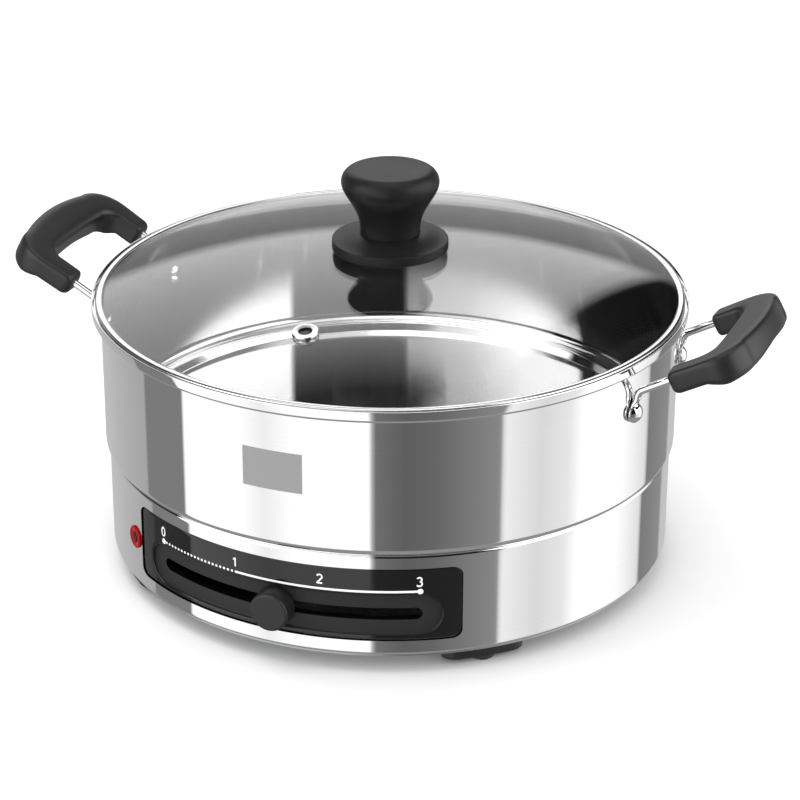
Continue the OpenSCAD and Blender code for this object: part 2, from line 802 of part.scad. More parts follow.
// Studs on the heating plate that carry the shield and tie the base together
module tie_studs() {
  color(steel) at_studs() {
    translate([0, 0, z_shield + shield_t]) cylinder(d = stud_shoulder_d, h = z_heater - z_shield - shield_t);
    translate([0, 0, z_foot - stud_below])
      cylinder(d = stud_d, h = z_shield + shield_t - z_foot + stud_below);
  }
}

// Nuts under the shield
module shield_nuts() {
  color(steel) at_studs() translate([0, 0, z_shield - nut_h]) hex_nut(stud_d, nut_af, nut_h);
}

// Nuts under the bottom plate
module base_nuts() {
  color(steel) at_studs() translate([0, 0, z_foot - nut_h]) hex_nut(stud_d, nut_af, nut_h);
}

// Red lens with a domed face outside the wall and its body inside
module lamp_lens() {
  color("firebrick") round_to(lamp_turn) on_wall(base_r + seat / 2, z_lamp) {
    cylinder(d = lamp_d, h = lamp_rim);
    translate([0, 0, lamp_rim]) dome_cap(lamp_d, lamp_proud - lamp_rim);
    translate([0, 0, -lamp_deep]) cylinder(d = lamp_body_d, h = lamp_deep);
  }
}

// Ring nut that holds the lamp from inside
module lamp_nut() {
  color(black) round_to(lamp_turn)
    on_wall(lamp_nut_seat - lamp_nut_h, z_lamp) difference() {
      cylinder(d = lamp_nut_d, h = lamp_nut_h);
      translate([0, 0, -cut]) cylinder(d = lamp_body_d + 2 * slip, h = 2 * cut);
    }
}

// Moulded inlet: a curved flange outside the wall, and a box with a mouth for the cord's connector
module inlet_socket() {
  color(dark) round_to(180) difference() {
    union() {
      intersection() {
        tube(base_r + seat / 2, base_r + inlet_flange_t, z_base, base_h);
        through_front(z_inlet)
          soft_rect(2 * (inlet_half + inlet_ear), mouth_h + 2 * (inlet_wall + inlet_over), inlet_corner);
      }
      intersection() {
        tube(mouth_floor - inlet_back, base_r + inlet_flange_t, z_base, base_h);
        through_front(z_inlet) soft_rect(2 * inlet_half, mouth_h + 2 * inlet_wall, inlet_corner);
      }
    }
    intersection() {
      tube(mouth_floor, base_r + cut, z_base, base_h);
      through_front(z_inlet) soft_rect(mouth_w, mouth_h, inlet_corner);
    }
    at_inlet_pins() cylinder(d = inlet_pin_d + 2 * slip, h = 2 * cut);
    for (side = [-1, 1])
      round_to(side * inlet_screw_turn) on_wall(base_r - cut, z_inlet)
        cylinder(d = inlet_screw_d + 2 * slip, h = 2 * cut);
  }
}

// Axes of the three pins, starting behind the inlet's box
module at_inlet_pins() {
  for (i = [-1, 0, 1])
    translate([i * inlet_pin_side, inlet_back + inlet_pin_tail - mouth_floor, inlet_pin_z(abs(i))])
      rotate([90, 0, 0]) children();
}

// The middle pin lies lower than the outer two
function inlet_pin_z(outer) = z_inlet + inlet_pin_rise * (outer - 1 / 2);

// Contact pins
module inlet_pins() {
  color("goldenrod") round_to(180) at_inlet_pins()
    cylinder(d = inlet_pin_d, h = inlet_pin_tail + inlet_back + mouth_deep - inlet_pin_short);
}

// Screws through the inlet's flange and the wall
module inlet_screws() {
  color(steel) at_inlet_screws() on_wall(base_r + inlet_flange_t + seat / 2, z_inlet) {
    dome_cap(inlet_screw_head, inlet_screw_head_h);
    translate([0, 0, -inlet_screw_len]) cylinder(d = inlet_screw_d, h = inlet_screw_len);
  }
}

// Nuts behind the wall
module inlet_nuts() {
  color(steel) at_inlet_screws() on_wall(wall_in - seat - inlet_nut_h, z_inlet)
    hex_nut(inlet_screw_d, inlet_nut_af, inlet_nut_h);
}

// Pot and handles
// The bowl is drawn from one sheet. It is given as a floor, a wall and a rim that meet face to face,
// so that each is simple enough to be filled by few convex pieces in a simulation.
// Sunk cooking floor
module pot_floor() {
  color(bright) translate([0, 0, z_floor]) cylinder(r = floor_r, h = pot_t);
}

// Wall with the ring on which the pot sits on the base
module pot_wall() {
  color(bright) difference() {
    rotate_extrude() polygon(concat(
      [[floor_r, z_floor], [seat_in, z_seam]],
      arc_points([seat_out, z_seam + pot_bend], pot_bend, -90, 0),
      [[pot_r, z_step], [pot_r - pot_t, z_step]],
      arc_points([seat_out, z_seam + pot_bend], pot_bend - pot_t, 0, -90),
      [[seat_in, z_seam + pot_t], [floor_r, z_floor + pot_t]]));
    at_rivets() on_wall(pot_r - cut, z_rivet) cylinder(d = rivet_d + 2 * slip, h = 2 * cut);
  }
}

// Stepped rim in which the lid lies
module pot_rim() {
  color(bright) rotate_extrude() polygon([
    [pot_r - pot_t, z_step], [rim_r, z_step], [rim_r, z_rim], [rim_r - pot_t, z_rim],
    [rim_r - pot_t, z_step + pot_t], [pot_r - pot_t, z_step + pot_t]]);
}

// Frame of the right handle: X runs out along its slope, Z square to it
module handle_frame() {
  translate([pot_r, 0, z_handle]) rotate([0, -handle_tilt, 0]) children();
}

// One bent rod: straight into the grip, round a bend, down the wall to a flattened eye
module handle_rod(end) {
  translate([0, end * rod_side, 0]) {
    handle_frame() translate([rod_from - bend_lap, 0, 0]) rotate([0, 90, 0])
      cylinder(d = rod_d, h = grip_start + rod_in_grip - rod_from + bend_lap);
    translate([bend_x, 0, z_bend]) rotate([90, 0, 0]) rotate([0, 0, 90 + handle_tilt])
      rotate_extrude(angle = 90 - handle_tilt) translate([rod_bend, 0]) circle(d = rod_d + 2 * bend_swell);
    translate([rod_x, 0, z_eye]) cylinder(d = rod_d, h = z_bend + bend_lap - z_eye);
  }
  round_to(90 + end * rod_turn) difference() {
    union() {
      on_wall(pot_r + seat, z_rivet) cylinder(d = eye_d, h = eye_t);
      translate([-eye_neck / 2, -pot_r - seat - eye_t, z_rivet])
        cube([eye_neck, eye_t, z_eye + eye_lap - z_rivet]);
    }
    on_wall(pot_r, z_rivet) cylinder(d = rivet_d + 2 * slip, h = cut);
  }
}

module handle_rods_right() {
  color(bright) for (end = [-1, 1]) handle_rod(end);
}

module handle_rods_left() {
  mirror([1, 0, 0]) handle_rods_right();
}

// Moulded grip, lofted through its cross-sections, with a blind hole for each rod
module grip_right() {
  color(black) handle_frame() difference() {
    polyhedron(points = [for (ring = grip_rings) for (p = ring) p], faces = grip_faces(), convexity = 4);
    for (end = [-1, 1])
      translate([0, end * rod_side, 0]) rotate([0, 90, 0])
        cylinder(d = rod_d + 2 * slip, h = grip_start + rod_in_grip + rod_end_gap);
  }
}

function grip_faces() =
  let (last = (len(grip_rings) - 1) * ring_n)
  concat(
    [[for (j = [0:ring_n - 1]) ring_n - 1 - j]],
    [[for (j = [0:ring_n - 1]) last + j]],
    [for (i = [0:len(grip_rings) - 2]) for (j = [0:ring_n - 1])
      [i * ring_n + j, i * ring_n + (j + 1) % ring_n, (i + 1) * ring_n + (j + 1) % ring_n]],
    [for (i = [0:len(grip_rings) - 2]) for (j = [0:ring_n - 1])
      [i * ring_n + j, (i + 1) * ring_n + (j + 1) % ring_n, (i + 1) * ring_n + j]]);

module grip_left() {
  mirror([1, 0, 0]) grip_right();
}

// Rivets through the eyes and the pot's wall
module handle_rivets() {
  color(bright) at_rivets() {
    on_wall(pot_r + seat + eye_t, z_rivet) dome_cap(rivet_head_d, rivet_head_h);
    on_wall(rivet_inside(), z_rivet)
      cylinder(d = rivet_d, h = pot_r + seat + eye_t + head_lap - rivet_inside());
    on_wall(rivet_inside(), z_rivet) rotate([180, 0, 0]) dome_cap(rivet_tail_d, rivet_tail_h);
  }
}

// Flat of the rivet's inner head, clear of the curved wall
function rivet_inside() = sqrt(pow(pot_r - pot_t, 2) - rivet_tail_d * rivet_tail_d / 4) - seat / 2;

// Lid
// Domed glass with holes for the knob's screw and the steam vent
module lid_glass() {
  color([0.75, 0.8, 0.8, 0.4]) difference() {
    translate([0, 0, z_dome]) rotate_extrude() intersection() {
      difference() {
        circle(dome_r, $fn = dome_fn);
        circle(dome_r - glass_t, $fn = dome_fn);
      }
      translate([0, dome_r / 2]) square([glass_r, dome_r]);
    }
    translate([0, 0, z_dome]) cylinder(d = knob_screw_d + 2 * slip, h = 2 * dome_r);
    at_steam() cylinder(d = eyelet_d + 2 * slip, h = 2 * dome_r);
  }
}

// Steel band rolled round the edge of the glass
module lid_band() {
  color(bright) rotate_extrude() polygon([
    [lip_r, glass_under(lip_r) - glass_play - band_t], [glass_r, z_band], [band_r, z_band],
    [band_r, glass_top(band_r) + glass_play + band_t], [lip_r, glass_top(lip_r) + glass_play + band_t],
    [lip_r, glass_top(lip_r) + glass_play], [band_r - band_t, glass_top(band_r - band_t) + glass_play],
    [band_r - band_t, glass_under(band_r - band_t) - glass_play],
    [lip_r, glass_under(lip_r) - glass_play]]);
}

// Frame of the steam vent: Z runs out of the dome, from the dome's centre
module at_steam() {
  translate([0, 0, z_dome]) round_to(steam_turn) rotate([steam_tilt, 0, 0]) children();
}

// Steel eyelet that lines the steam vent
module steam_eyelet() {
  color(bright) at_steam() difference() {
    union() {
      translate([0, 0, dome_r])
        cylinder(d1 = eyelet_rim_d, d2 = eyelet_rim_d - eyelet_rim_h, h = eyelet_rim_h);
      translate([0, 0, dome_r - glass_t - eyelet_rim_h - seat]) cylinder(d = eyelet_rim_d, h = eyelet_rim_h);
      translate([0, 0, dome_r - glass_t - eyelet_rim_h]) cylinder(d = eyelet_d, h = glass_t + eyelet_rim_h);
    }
    cylinder(d = steam_d, h = 2 * dome_r);
  }
}

// Soft washer between the glass and the guard disc
module knob_seal() {
  hole_r = knob_screw_d / 2 + slip;
  color("dimgray") rotate_extrude() polygon([
    [hole_r, glass_top(hole_r) + seat / 2], [seal_r, glass_top(seal_r) + seat / 2],
    [seal_r, z_guard], [hole_r, z_guard]]);
}

// Round disc that guards the fingers from steam
module knob_guard() {
  color(black) difference() {
    rotate_extrude() polygon(concat(
      [[0, z_guard]],
      arc_points([guard_r - guard_round, z_guard + guard_round], guard_round, -90, 0),
      arc_points([guard_r - guard_round, z_knob - guard_round], guard_round, 0, 90),
      [[0, z_knob]]));
    cylinder(d = knob_screw_d + 2 * slip, h = 2 * z_knob);
  }
}

// Turned knob: slim neck that swells to a broad flat top
module lid_knob() {
  knob_side = knob_h - knob_round_r;
  color(black) difference() {
    translate([0, 0, z_knob]) rotate_extrude() polygon(concat(
      [[0, 0]],
      [for (i = [0:knob_steps - 1])
        let (u = i / knob_steps)
        [mix(neck_r, knob_r, ease(pow(u, knob_rise))), knob_side * u]],
      arc_points([knob_r - knob_round_r, knob_side], knob_round_r, 0, 90),
      [[0, knob_h]]));
    translate([0, 0, z_knob - cut])
      cylinder(d = knob_screw_d + 2 * slip, h = cut + knob_screw_in + knob_screw_gap);
  }
}

// Washer under the glass
module knob_washer() {
  color(bright) tube(knob_screw_d / 2 + slip, washer_r, z_washer, washer_t);
}

// Screw from under the glass up into the knob
module knob_screw() {
  color(bright) {
    translate([0, 0, z_washer]) rotate([180, 0, 0]) dome_cap(screw_head_d, screw_head_h);
    translate([0, 0, z_washer - head_lap])
      cylinder(d = knob_screw_d, h = z_knob + knob_screw_in - z_washer + head_lap);
  }
}

base_shell();
bottom_plate();
feet();
foot_pads();
foot_screws();
control_panel();
panel_studs();
panel_nuts();
slider_knob();
control_lever();
thermostat_shaft();
shaft_clip();
thermostat();
thermostat_screws();
heat_shield();
heating_plate();
heating_element();
thermal_fuse();
fuse_clip();
tie_studs();
shield_nuts();
base_nuts();
lamp_lens();
lamp_nut();
inlet_socket();
inlet_pins();
inlet_screws();
inlet_nuts();
pot_floor();
pot_wall();
pot_rim();
handle_rods_left();
handle_rods_right();
grip_left();
grip_right();
handle_rivets();
lid_glass();
lid_band();
steam_eyelet();
knob_seal();
knob_guard();
lid_knob();
knob_washer();
knob_screw();
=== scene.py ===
# %% [markdown]
# # An electric hot pot, dressed for the camera
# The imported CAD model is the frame: it says where every piece is and what moves. Here each piece that shows
# is remade as a smooth surface and given a finish. Mirror-polished steel is the hard part, because a mirror
# shows every flat facet of a coarse mesh, so the steel pieces are dense surfaces worked out from formulas.

# %% Load the frame
import bpy, bmesh
import numpy as np
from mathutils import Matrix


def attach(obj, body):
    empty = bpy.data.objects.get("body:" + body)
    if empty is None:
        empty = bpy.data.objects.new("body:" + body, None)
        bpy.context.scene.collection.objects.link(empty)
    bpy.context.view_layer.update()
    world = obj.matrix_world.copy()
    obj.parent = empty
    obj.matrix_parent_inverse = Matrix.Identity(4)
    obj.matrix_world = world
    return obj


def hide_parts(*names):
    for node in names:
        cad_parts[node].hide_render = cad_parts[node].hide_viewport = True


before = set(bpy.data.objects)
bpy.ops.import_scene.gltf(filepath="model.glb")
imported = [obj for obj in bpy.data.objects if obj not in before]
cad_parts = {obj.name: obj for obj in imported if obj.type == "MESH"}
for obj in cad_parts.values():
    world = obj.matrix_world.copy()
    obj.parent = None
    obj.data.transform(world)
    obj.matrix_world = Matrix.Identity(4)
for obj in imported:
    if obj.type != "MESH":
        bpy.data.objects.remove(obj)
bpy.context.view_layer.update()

# %% [markdown]
# ## Sizes
# These are the CAD model's own sizes in millimetres. The pot stands on z = 0, its axis is Z, its front is -Y
# and its handles are on X. Angles are counted from the front, positive towards +X.

# %% Sizes of the real object
POT_R, POT_T, RIM_R = 148.0, 0.8, 152.6
BASE_R, SHELL_T = 146.0, 0.8
Z_BASE, Z_SEAM, Z_RIM = 10.2, 64.2, 142.2
Z_STEP = Z_RIM - 5.8
Z_FLOOR = Z_SEAM - 4.2
SEAT_OUT, SEAT_IN, FLOOR_R = 144.0, 139.5, 137.4
PANEL_R, TRACK_R = 145.3, 143.6
TRAVEL = np.radians(27.0)
TRACK_H, SLOT_H = 22.0, 6.0
TRACK_HALF = PANEL_R * np.sin(TRAVEL) + 1 + TRACK_H / 2
SLOT_HALF = TRACK_R * np.sin(TRAVEL) + 3.5
WINDOW_HALF, WINDOW_H, WINDOW_CORNER = TRACK_HALF + 8.4, 39.0, 4.6
BELOW_WINDOW, BELOW_TRACK = 7.9, 2.6
Z_WINDOW = Z_BASE + BELOW_WINDOW + WINDOW_H / 2
Z_TRACK = Z_BASE + BELOW_WINDOW + BELOW_TRACK + TRACK_H / 2
INLET_HALF_W, INLET_HALF_H, INLET_CORNER, Z_INLET = 16.75, 11.75, 4.0, Z_BASE + 26
print("panel window half-width %.2f mm, track centre at z = %.2f mm" % (WINDOW_HALF, Z_TRACK))

# %% [markdown]
# ## From a grid of points to a mesh
# A surface is a grid: rows follow one parameter, columns the other, and each cell of four neighbours is a face.
# It could be built vertex by vertex in bmesh, but whole numpy arrays are shorter and much faster. Points that
# coincide, as at a pole or where a closed profile meets itself, are merged, and the faces then turn outwards.

# %% Mesh from grids
def surface(name, grids, close_u=False, close_v=False, sharp=38.0):
    """Object from one or more grids of points in millimetres (rows u, columns v, xyz).
    Face (i, j) joins points (i, j), (i+1, j), (i+1, j+1), (i, j+1); close_u or close_v joins last to first."""
    points, faces, first = [], [], 0
    for grid in grids:
        rows, columns = grid.shape[:2]
        index = first + np.arange(rows * columns).reshape(rows, columns)
        index = np.concatenate([index, index[:1]], 0) if close_u else index
        index = np.concatenate([index, index[:, :1]], 1) if close_v else index
        corners = [index[:-1, :-1], index[1:, :-1], index[1:, 1:], index[:-1, 1:]]
        faces.append(np.stack(corners, -1).reshape(-1, 4))
        points.append(grid.reshape(-1, 3))
        first += rows * columns
    mesh = bpy.data.meshes.new(name)
    mesh.from_pydata((np.concatenate(points) * 0.001).tolist(), [], np.concatenate(faces).tolist())
    work = bmesh.new()
    work.from_mesh(mesh)
    bmesh.ops.remove_doubles(work, verts=work.verts, dist=2e-6)
    bmesh.ops.dissolve_degenerate(work, dist=1e-6, edges=work.edges)
    bmesh.ops.recalc_face_normals(work, faces=work.faces)
    work.to_mesh(mesh)
    work.free()
    mesh.polygons.foreach_set("use_smooth", np.ones(len(mesh.polygons), bool))
    mesh.set_sharp_from_angle(angle=np.radians(sharp))
    thing = bpy.data.objects.new(name, mesh)
    bpy.context.scene.collection.objects.link(thing)
    return thing


def rounded(corners, radii, steps=8, closed=False):
    """Polyline with its corners rounded: the arc of radius r touches both lines at r / tan(half the corner's
    angle) from the corner, and its centre is on the bisector at r / sin(half the angle)."""
    p = np.asarray(corners, float)
    before, after = np.roll(p, 1, 0) - p, np.roll(p, -1, 0) - p
    before /= np.linalg.norm(before, axis=1)[:, None]
    after /= np.linalg.norm(after, axis=1)[:, None]
    half = np.arccos(np.clip((before * after).sum(1), -1, 1)) / 2
    t = np.linspace(0, 1, steps + 1)[:, None]
    out = []
    for i, r in enumerate(radii):
        if r == 0 or (not closed and i in (0, len(p) - 1)):
            out.append(p[i:i + 1])
            continue
        bisector = before[i] + after[i]
        centre = p[i] + bisector / np.linalg.norm(bisector) * r / np.sin(half[i])
        start = p[i] + before[i] * r / np.tan(half[i]) - centre
        end = p[i] + after[i] * r / np.tan(half[i]) - centre
        turn = np.pi - 2 * half[i]
        out.append(centre + (np.sin((1 - t) * turn) * start + np.sin(t * turn) * end) / np.sin(turn))
    return np.concatenate(out)


def held(profile, reach=0.4, shortest=5.0):
    """Profile with one more point close to each end of its long straight stretches, off the axis. Smooth shading
    averages neighbouring faces, so without these points a flat wall would shine as if it were bowed."""
    p = np.asarray(profile, float)
    step = np.diff(p, axis=0)
    length = np.linalg.norm(step, axis=1)[:, None]
    stride = step / np.maximum(length, 1e-9) * reach
    long = length[:, 0] > shortest
    points = np.stack([p[:-1], p[:-1] + stride, p[1:] - stride], 1)
    keep = np.stack([np.ones_like(long), long & (p[:-1, 0] > 0), long & (p[1:, 0] > 0)], 1)
    return np.concatenate([points[keep], p[-1:]])


def spun(profile, steps=288):
    """Profile of (radius, height) carried round the Z axis: x = r sin a, y = -r cos a, z = height."""
    profile = held(profile)
    a = np.linspace(0, 2 * np.pi, steps, endpoint=False)
    r, z = profile[:, :1], profile[:, 1:]
    return np.stack([r * np.sin(a), -r * np.cos(a), z + 0 * a], -1)


def on_wall(grid, radius, height, angle):
    """Carries a grid drawn round the Z axis onto a round wall: its Z becomes outwards, its Y becomes up."""
    a = np.radians(angle)
    out, along = np.array([np.sin(a), -np.cos(a), 0]), np.array([np.cos(a), np.sin(a), 0])
    up = np.array([0, 0, 1.0])
    return grid[..., :1] * along + (height + grid[..., 1:2]) * up + (radius + grid[..., 2:]) * out


def smooth(k):
    """Slow start and slow stop between 0 and 1: k squared times (3 - 2k)."""
    k = np.clip(k, 0, 1)
    return k * k * (3 - 2 * k)


# %% [markdown]
# ## Effects that several finishes share
# Polishing leaves fine rings round a spun pot, moulding leaves a fine grain on resin, and hands leave a faint
# film on both. Each is a node group with named sockets, so that every material can use it with its own values.
# A group gives out only numbers that vary over the surface. The shader itself stays in the material.

# %% Node groups
def link_value(tree, value, socket):
    """Sets a socket to a number or colour, or links it to another socket."""
    if isinstance(value, bpy.types.NodeSocket):
        tree.links.new(value, socket)
    else:
        socket.default_value = value


def add_node(tree, kind, inputs=(), **settings):
    """A node of that kind with its settings and its inputs, by number or name."""
    made = tree.nodes.new(kind)
    for key, value in settings.items():
        setattr(made, key, value)
    for key, value in dict(inputs).items():
        link_value(tree, value, made.inputs[key])
    return made


def effect(name, inputs, outputs):
    """An empty shader node group with number sockets: returns the group, its input node and its output node."""
    group = bpy.data.node_groups.new(name, "ShaderNodeTree")
    for label, value in inputs.items():
        group.interface.new_socket(label, in_out="INPUT", socket_type="NodeSocketFloat").default_value = value
    for label in outputs:
        group.interface.new_socket(label, in_out="OUTPUT", socket_type="NodeSocketFloat")
    return group, group.nodes.new("NodeGroupInput"), group.nodes.new("NodeGroupOutput")


# Rings left by polishing on a lathe: noise of (distance from the axis, height), with hardly any change round it
POLISH, given, result = effect("polishing rings", {"Rings per metre": 900.0, "Waver": 0.4}, ["Ring"])
place = add_node(POLISH, "ShaderNodeTexCoord").outputs["Object"]
xyz = add_node(POLISH, "ShaderNodeSeparateXYZ", {0: place})
flat = add_node(POLISH, "ShaderNodeCombineXYZ", {0: xyz.outputs[0], 1: xyz.outputs[1]})
far = add_node(POLISH, "ShaderNodeVectorMath", {0: flat.outputs[0]}, operation="LENGTH")
pairs = [(far.outputs["Value"], "Rings per metre"), (xyz.outputs[2], "Rings per metre"), (xyz.outputs[0], "Waver")]
times = lambda value, by: add_node(POLISH, "ShaderNodeMath", {0: value, 1: given.outputs[by]}, operation="MULTIPLY")
scaled = [times(value, by) for value, by in pairs]
where = add_node(POLISH, "ShaderNodeCombineXYZ", {i: made.outputs[0] for i, made in enumerate(scaled)})
noise = add_node(POLISH, "ShaderNodeTexNoise", {"Vector": where.outputs[0], "Scale": 1.0, "Detail": 3.0})
POLISH.links.new(noise.outputs["Fac"], result.inputs["Ring"])

# Fine grain of moulded resin, rubber or cast metal, as a tone and a height
GRAIN, given, result = effect("moulded grain", {"Grains per metre": 2500.0}, ["Grain"])
place = add_node(GRAIN, "ShaderNodeTexCoord").outputs["Object"]
grains = {"Vector": place, "Scale": given.outputs["Grains per metre"], "Detail": 2.0}
noise = add_node(GRAIN, "ShaderNodeTexNoise", grains)
GRAIN.links.new(noise.outputs["Fac"], result.inputs["Grain"])

# Faint film of handling: broad soft patches with finer flecks in them
FILM, given, result = effect("handling film", {"Patches per metre": 14.0}, ["Film"])
place = add_node(FILM, "ShaderNodeTexCoord").outputs["Object"]
patches = {"Vector": place, "Scale": given.outputs["Patches per metre"], "Detail": 5.0, "Roughness": 0.6}
broad = add_node(FILM, "ShaderNodeTexNoise", patches)
soft = add_node(FILM, "ShaderNodeMapRange", {0: broad.outputs["Fac"], 1: 0.42, 2: 0.72})
FILM.links.new(soft.outputs[0], result.inputs["Film"])
print("node groups:", [g.name for g in bpy.data.node_groups])

# %% [markdown]
# ## Finishes
# Every finish starts from a Principled shader. Numbers that are the same all over are set on its own sockets.
# Colour, roughness and bump come from the groups, because a real surface is never the same all over.
# Steel gets no bump: on a mirror even a tiny one would show as dents. Brushed steel has a second trick: its
# gloss is anisotropic, drawn out across the strokes, which makes the tall soft lights inside the pot. Its deep
# parts get painted shade: light mirrored twice there turns near-black.

# %% Helpers for finishes
def place_group(tree, group, **values):
    """Places a group with its values, named with _ for each space, and returns its output."""
    placed = add_node(tree, "ShaderNodeGroup", node_tree=group)
    for key, value in values.items():
        placed.inputs[key.replace("_", " ")].default_value = value
    return placed.outputs[0]


def finish_for(name, group, **values):
    """A new material, its tree, its shader and one placed group with its values."""
    material = bpy.data.materials.new(name)
    material.use_nodes = True
    tree = material.node_tree
    return material, tree, tree.nodes["Principled BSDF"], place_group(tree, group, **values)


def between(tree, mask, low, high, socket):
    """A number from low to high, following a mask from 0 to 1."""
    made = add_node(tree, "ShaderNodeMapRange", {0: mask, 3: low, 4: high})
    tree.links.new(made.outputs[0], socket)


def tones(tree, mask, low, high, socket):
    """A colour from low to high, following a mask from 0 to 1."""
    made = add_node(tree, "ShaderNodeMix", {0: mask, 6: (*low, 1), 7: (*high, 1)}, data_type="RGBA")
    tree.links.new(made.outputs[2], socket)


def grained(name, low, high, rough, grains, depth, metallic=0.0, shine=0.5):
    """A moulded, cast or plated finish: grain varies its tone and raises a fine bump, the film varies its gloss.
    The bump's depth is in metres."""
    material, tree, shader, grain = finish_for(name, GRAIN, Grains_per_metre=grains)
    tones(tree, grain, low, high, shader.inputs["Base Color"])
    between(tree, place_group(tree, FILM), *rough, shader.inputs["Roughness"])
    bump = add_node(tree, "ShaderNodeBump", {"Strength": 0.35, "Distance": depth, "Height": grain})
    tree.links.new(bump.outputs[0], shader.inputs["Normal"])
    shader.inputs["Metallic"].default_value = metallic
    shader.inputs["Specular IOR Level"].default_value = shine
    return material


def polished(name, low, high, rough, rings):
    """Steel polished on a lathe: rings vary its tone a little, the film its gloss."""
    material, tree, shader, ring = finish_for(name, POLISH, Rings_per_metre=rings)
    tones(tree, ring, low, high, shader.inputs["Base Color"])
    between(tree, place_group(tree, FILM, Patches_per_metre=9.0), *rough, shader.inputs["Roughness"])
    shader.inputs["Metallic"].default_value = 1.0
    return material


def brushed(name, low, high, rough, rings):
    """Steel brushed round the axis. Its gloss is drawn out across the strokes: the tangent, Z crossed with the
    place, runs along them, and a quarter turn on the shader's own socket sets the gloss square to it. Rays that
    have been mirrored twice in the pot get a near-black diffuse instead: painted shade that darkens the deep parts."""
    material = polished(name, low, high, rough, rings)
    tree, shader = material.node_tree, material.node_tree.nodes["Principled BSDF"]
    place = add_node(tree, "ShaderNodeTexCoord").outputs["Object"]
    along = add_node(tree, "ShaderNodeVectorMath", {0: (0, 0, 1), 1: place}, operation="CROSS_PRODUCT")
    tree.links.new(along.outputs[0], shader.inputs["Tangent"])
    shader.inputs["Anisotropic"].default_value = 1.0
    shader.inputs["Anisotropic Rotation"].default_value = 0.25
    # Painted shade: after two mirrorings a near-black diffuse stands in for the light, so the pot's deep parts go
    # dark.
    bounces = add_node(tree, "ShaderNodeLightPath").outputs["Glossy Depth"]
    often = add_node(tree, "ShaderNodeMath", {0: bounces, 1: 1.5}, operation="GREATER_THAN")
    painted_shade = add_node(tree, "ShaderNodeBsdfDiffuse", {"Color": (0.02, 0.02, 0.02, 1)})
    mixed = add_node(tree, "ShaderNodeMixShader", {0: often.outputs[0], 1: shader.outputs[0], 2: painted_shade.outputs[0]})
    tree.links.new(mixed.outputs[0], tree.nodes["Material Output"].inputs["Surface"])
    return material


# %% The finishes of this pot
pale = lambda low, high: ((low,) * 3, (high,) * 3)
black = lambda low, high: ((low, low, low * 1.04), (high, high, high * 1.03))
MIRROR = polished("mirror polished steel", *pale(0.90, 0.95), (0.02, 0.05), 900.0)
ROLLED = polished("rolled steel band", *pale(0.86, 0.92), (0.16, 0.22), 1600.0)
BRUSHED_WITH_PAINTED_SHADE = brushed("brushed steel inside with painted shade", *pale(0.74, 0.82), (0.065, 0.085), 2200.0)
RESIN = grained("black heat-proof resin", *black(0.009, 0.014), (0.38, 0.48), 2600.0, 0.00002, shine=0.5)
KNOB_RESIN = grained("black knob resin", *black(0.007, 0.011), (0.40, 0.50), 2600.0, 0.00002, shine=0.28)
TRACK = grained("black track, matt", *black(0.014, 0.022), (0.50, 0.60), 2600.0, 0.00002, shine=0.3)
# Painted shade: the faces down in the slot are set far darker than the track's own black.
SLOT_PAINTED_SHADE = grained("painted shade inside the slot", *black(0.001, 0.002), (0.80, 0.90), 2600.0, 0.00002, shine=0.05)
GLOSS = grained("black panel, glossy", *black(0.006, 0.009), (0.02, 0.05), 900.0, 0.000002)
RUBBER = grained("black rubber", *black(0.018, 0.030), (0.65, 0.80), 1800.0, 0.00004)
PRINT = grained("white print", *pale(0.85, 0.95), (0.45, 0.55), 3000.0, 0.000002)
PLATE = grained("bare satin plate", *pale(0.33, 0.38), (0.42, 0.50), 5000.0, 0.000004, metallic=0.6)
ZINC = ((0.50, 0.51, 0.52), (0.60, 0.61, 0.62))
YELLOW = ((0.62, 0.46, 0.19), (0.74, 0.57, 0.27))
OXIDE = ((0.10, 0.095, 0.09), (0.17, 0.16, 0.15))
PLATED = grained("plated sheet", *ZINC, (0.35, 0.50), 700.0, 0.00001, metallic=1.0)
SCREWS = grained("screw steel", *pale(0.55, 0.66), (0.25, 0.40), 1500.0, 0.00001, metallic=1.0)
BRASS = grained("turned brass", *YELLOW, (0.22, 0.36), 1500.0, 0.00001, metallic=1.0)
CERAMIC = grained("matt ceramic", (0.70, 0.66, 0.56), (0.80, 0.76, 0.66), (0.70, 0.85), 900.0, 0.00003)
CAST = grained("cast aluminium", *pale(0.42, 0.56), (0.45, 0.60), 600.0, 0.00006, metallic=1.0)
FOIL = grained("rolled aluminium", *pale(0.66, 0.77), (0.25, 0.40), 400.0, 0.00001, metallic=1.0)
# Painted shade: the eyelet's bore is steel, but a dark finish makes its hole look deep and dark.
BORE_PAINTED_SHADE = grained("painted shade in the eyelet's bore", *black(0.012, 0.03), (0.35, 0.50), 1500.0, 0.00001, metallic=0.6)
SHEATH = grained("oxidised tube", *OXIDE, (0.50, 0.65), 1200.0, 0.00003, metallic=0.7)
print("finishes:", len(bpy.data.materials))

# %% [markdown]
# ## Glass and lamp lens
# Real glass bends light, and a path tracer then loses most light that should fall through it. So the shader is
# a clear Principled one, and only shadow and diffuse rays pass straight through, which keeps the pot's inside lit.
# The lamp is off, so its lens is no more than a dark red gloss, darker still in the middle.

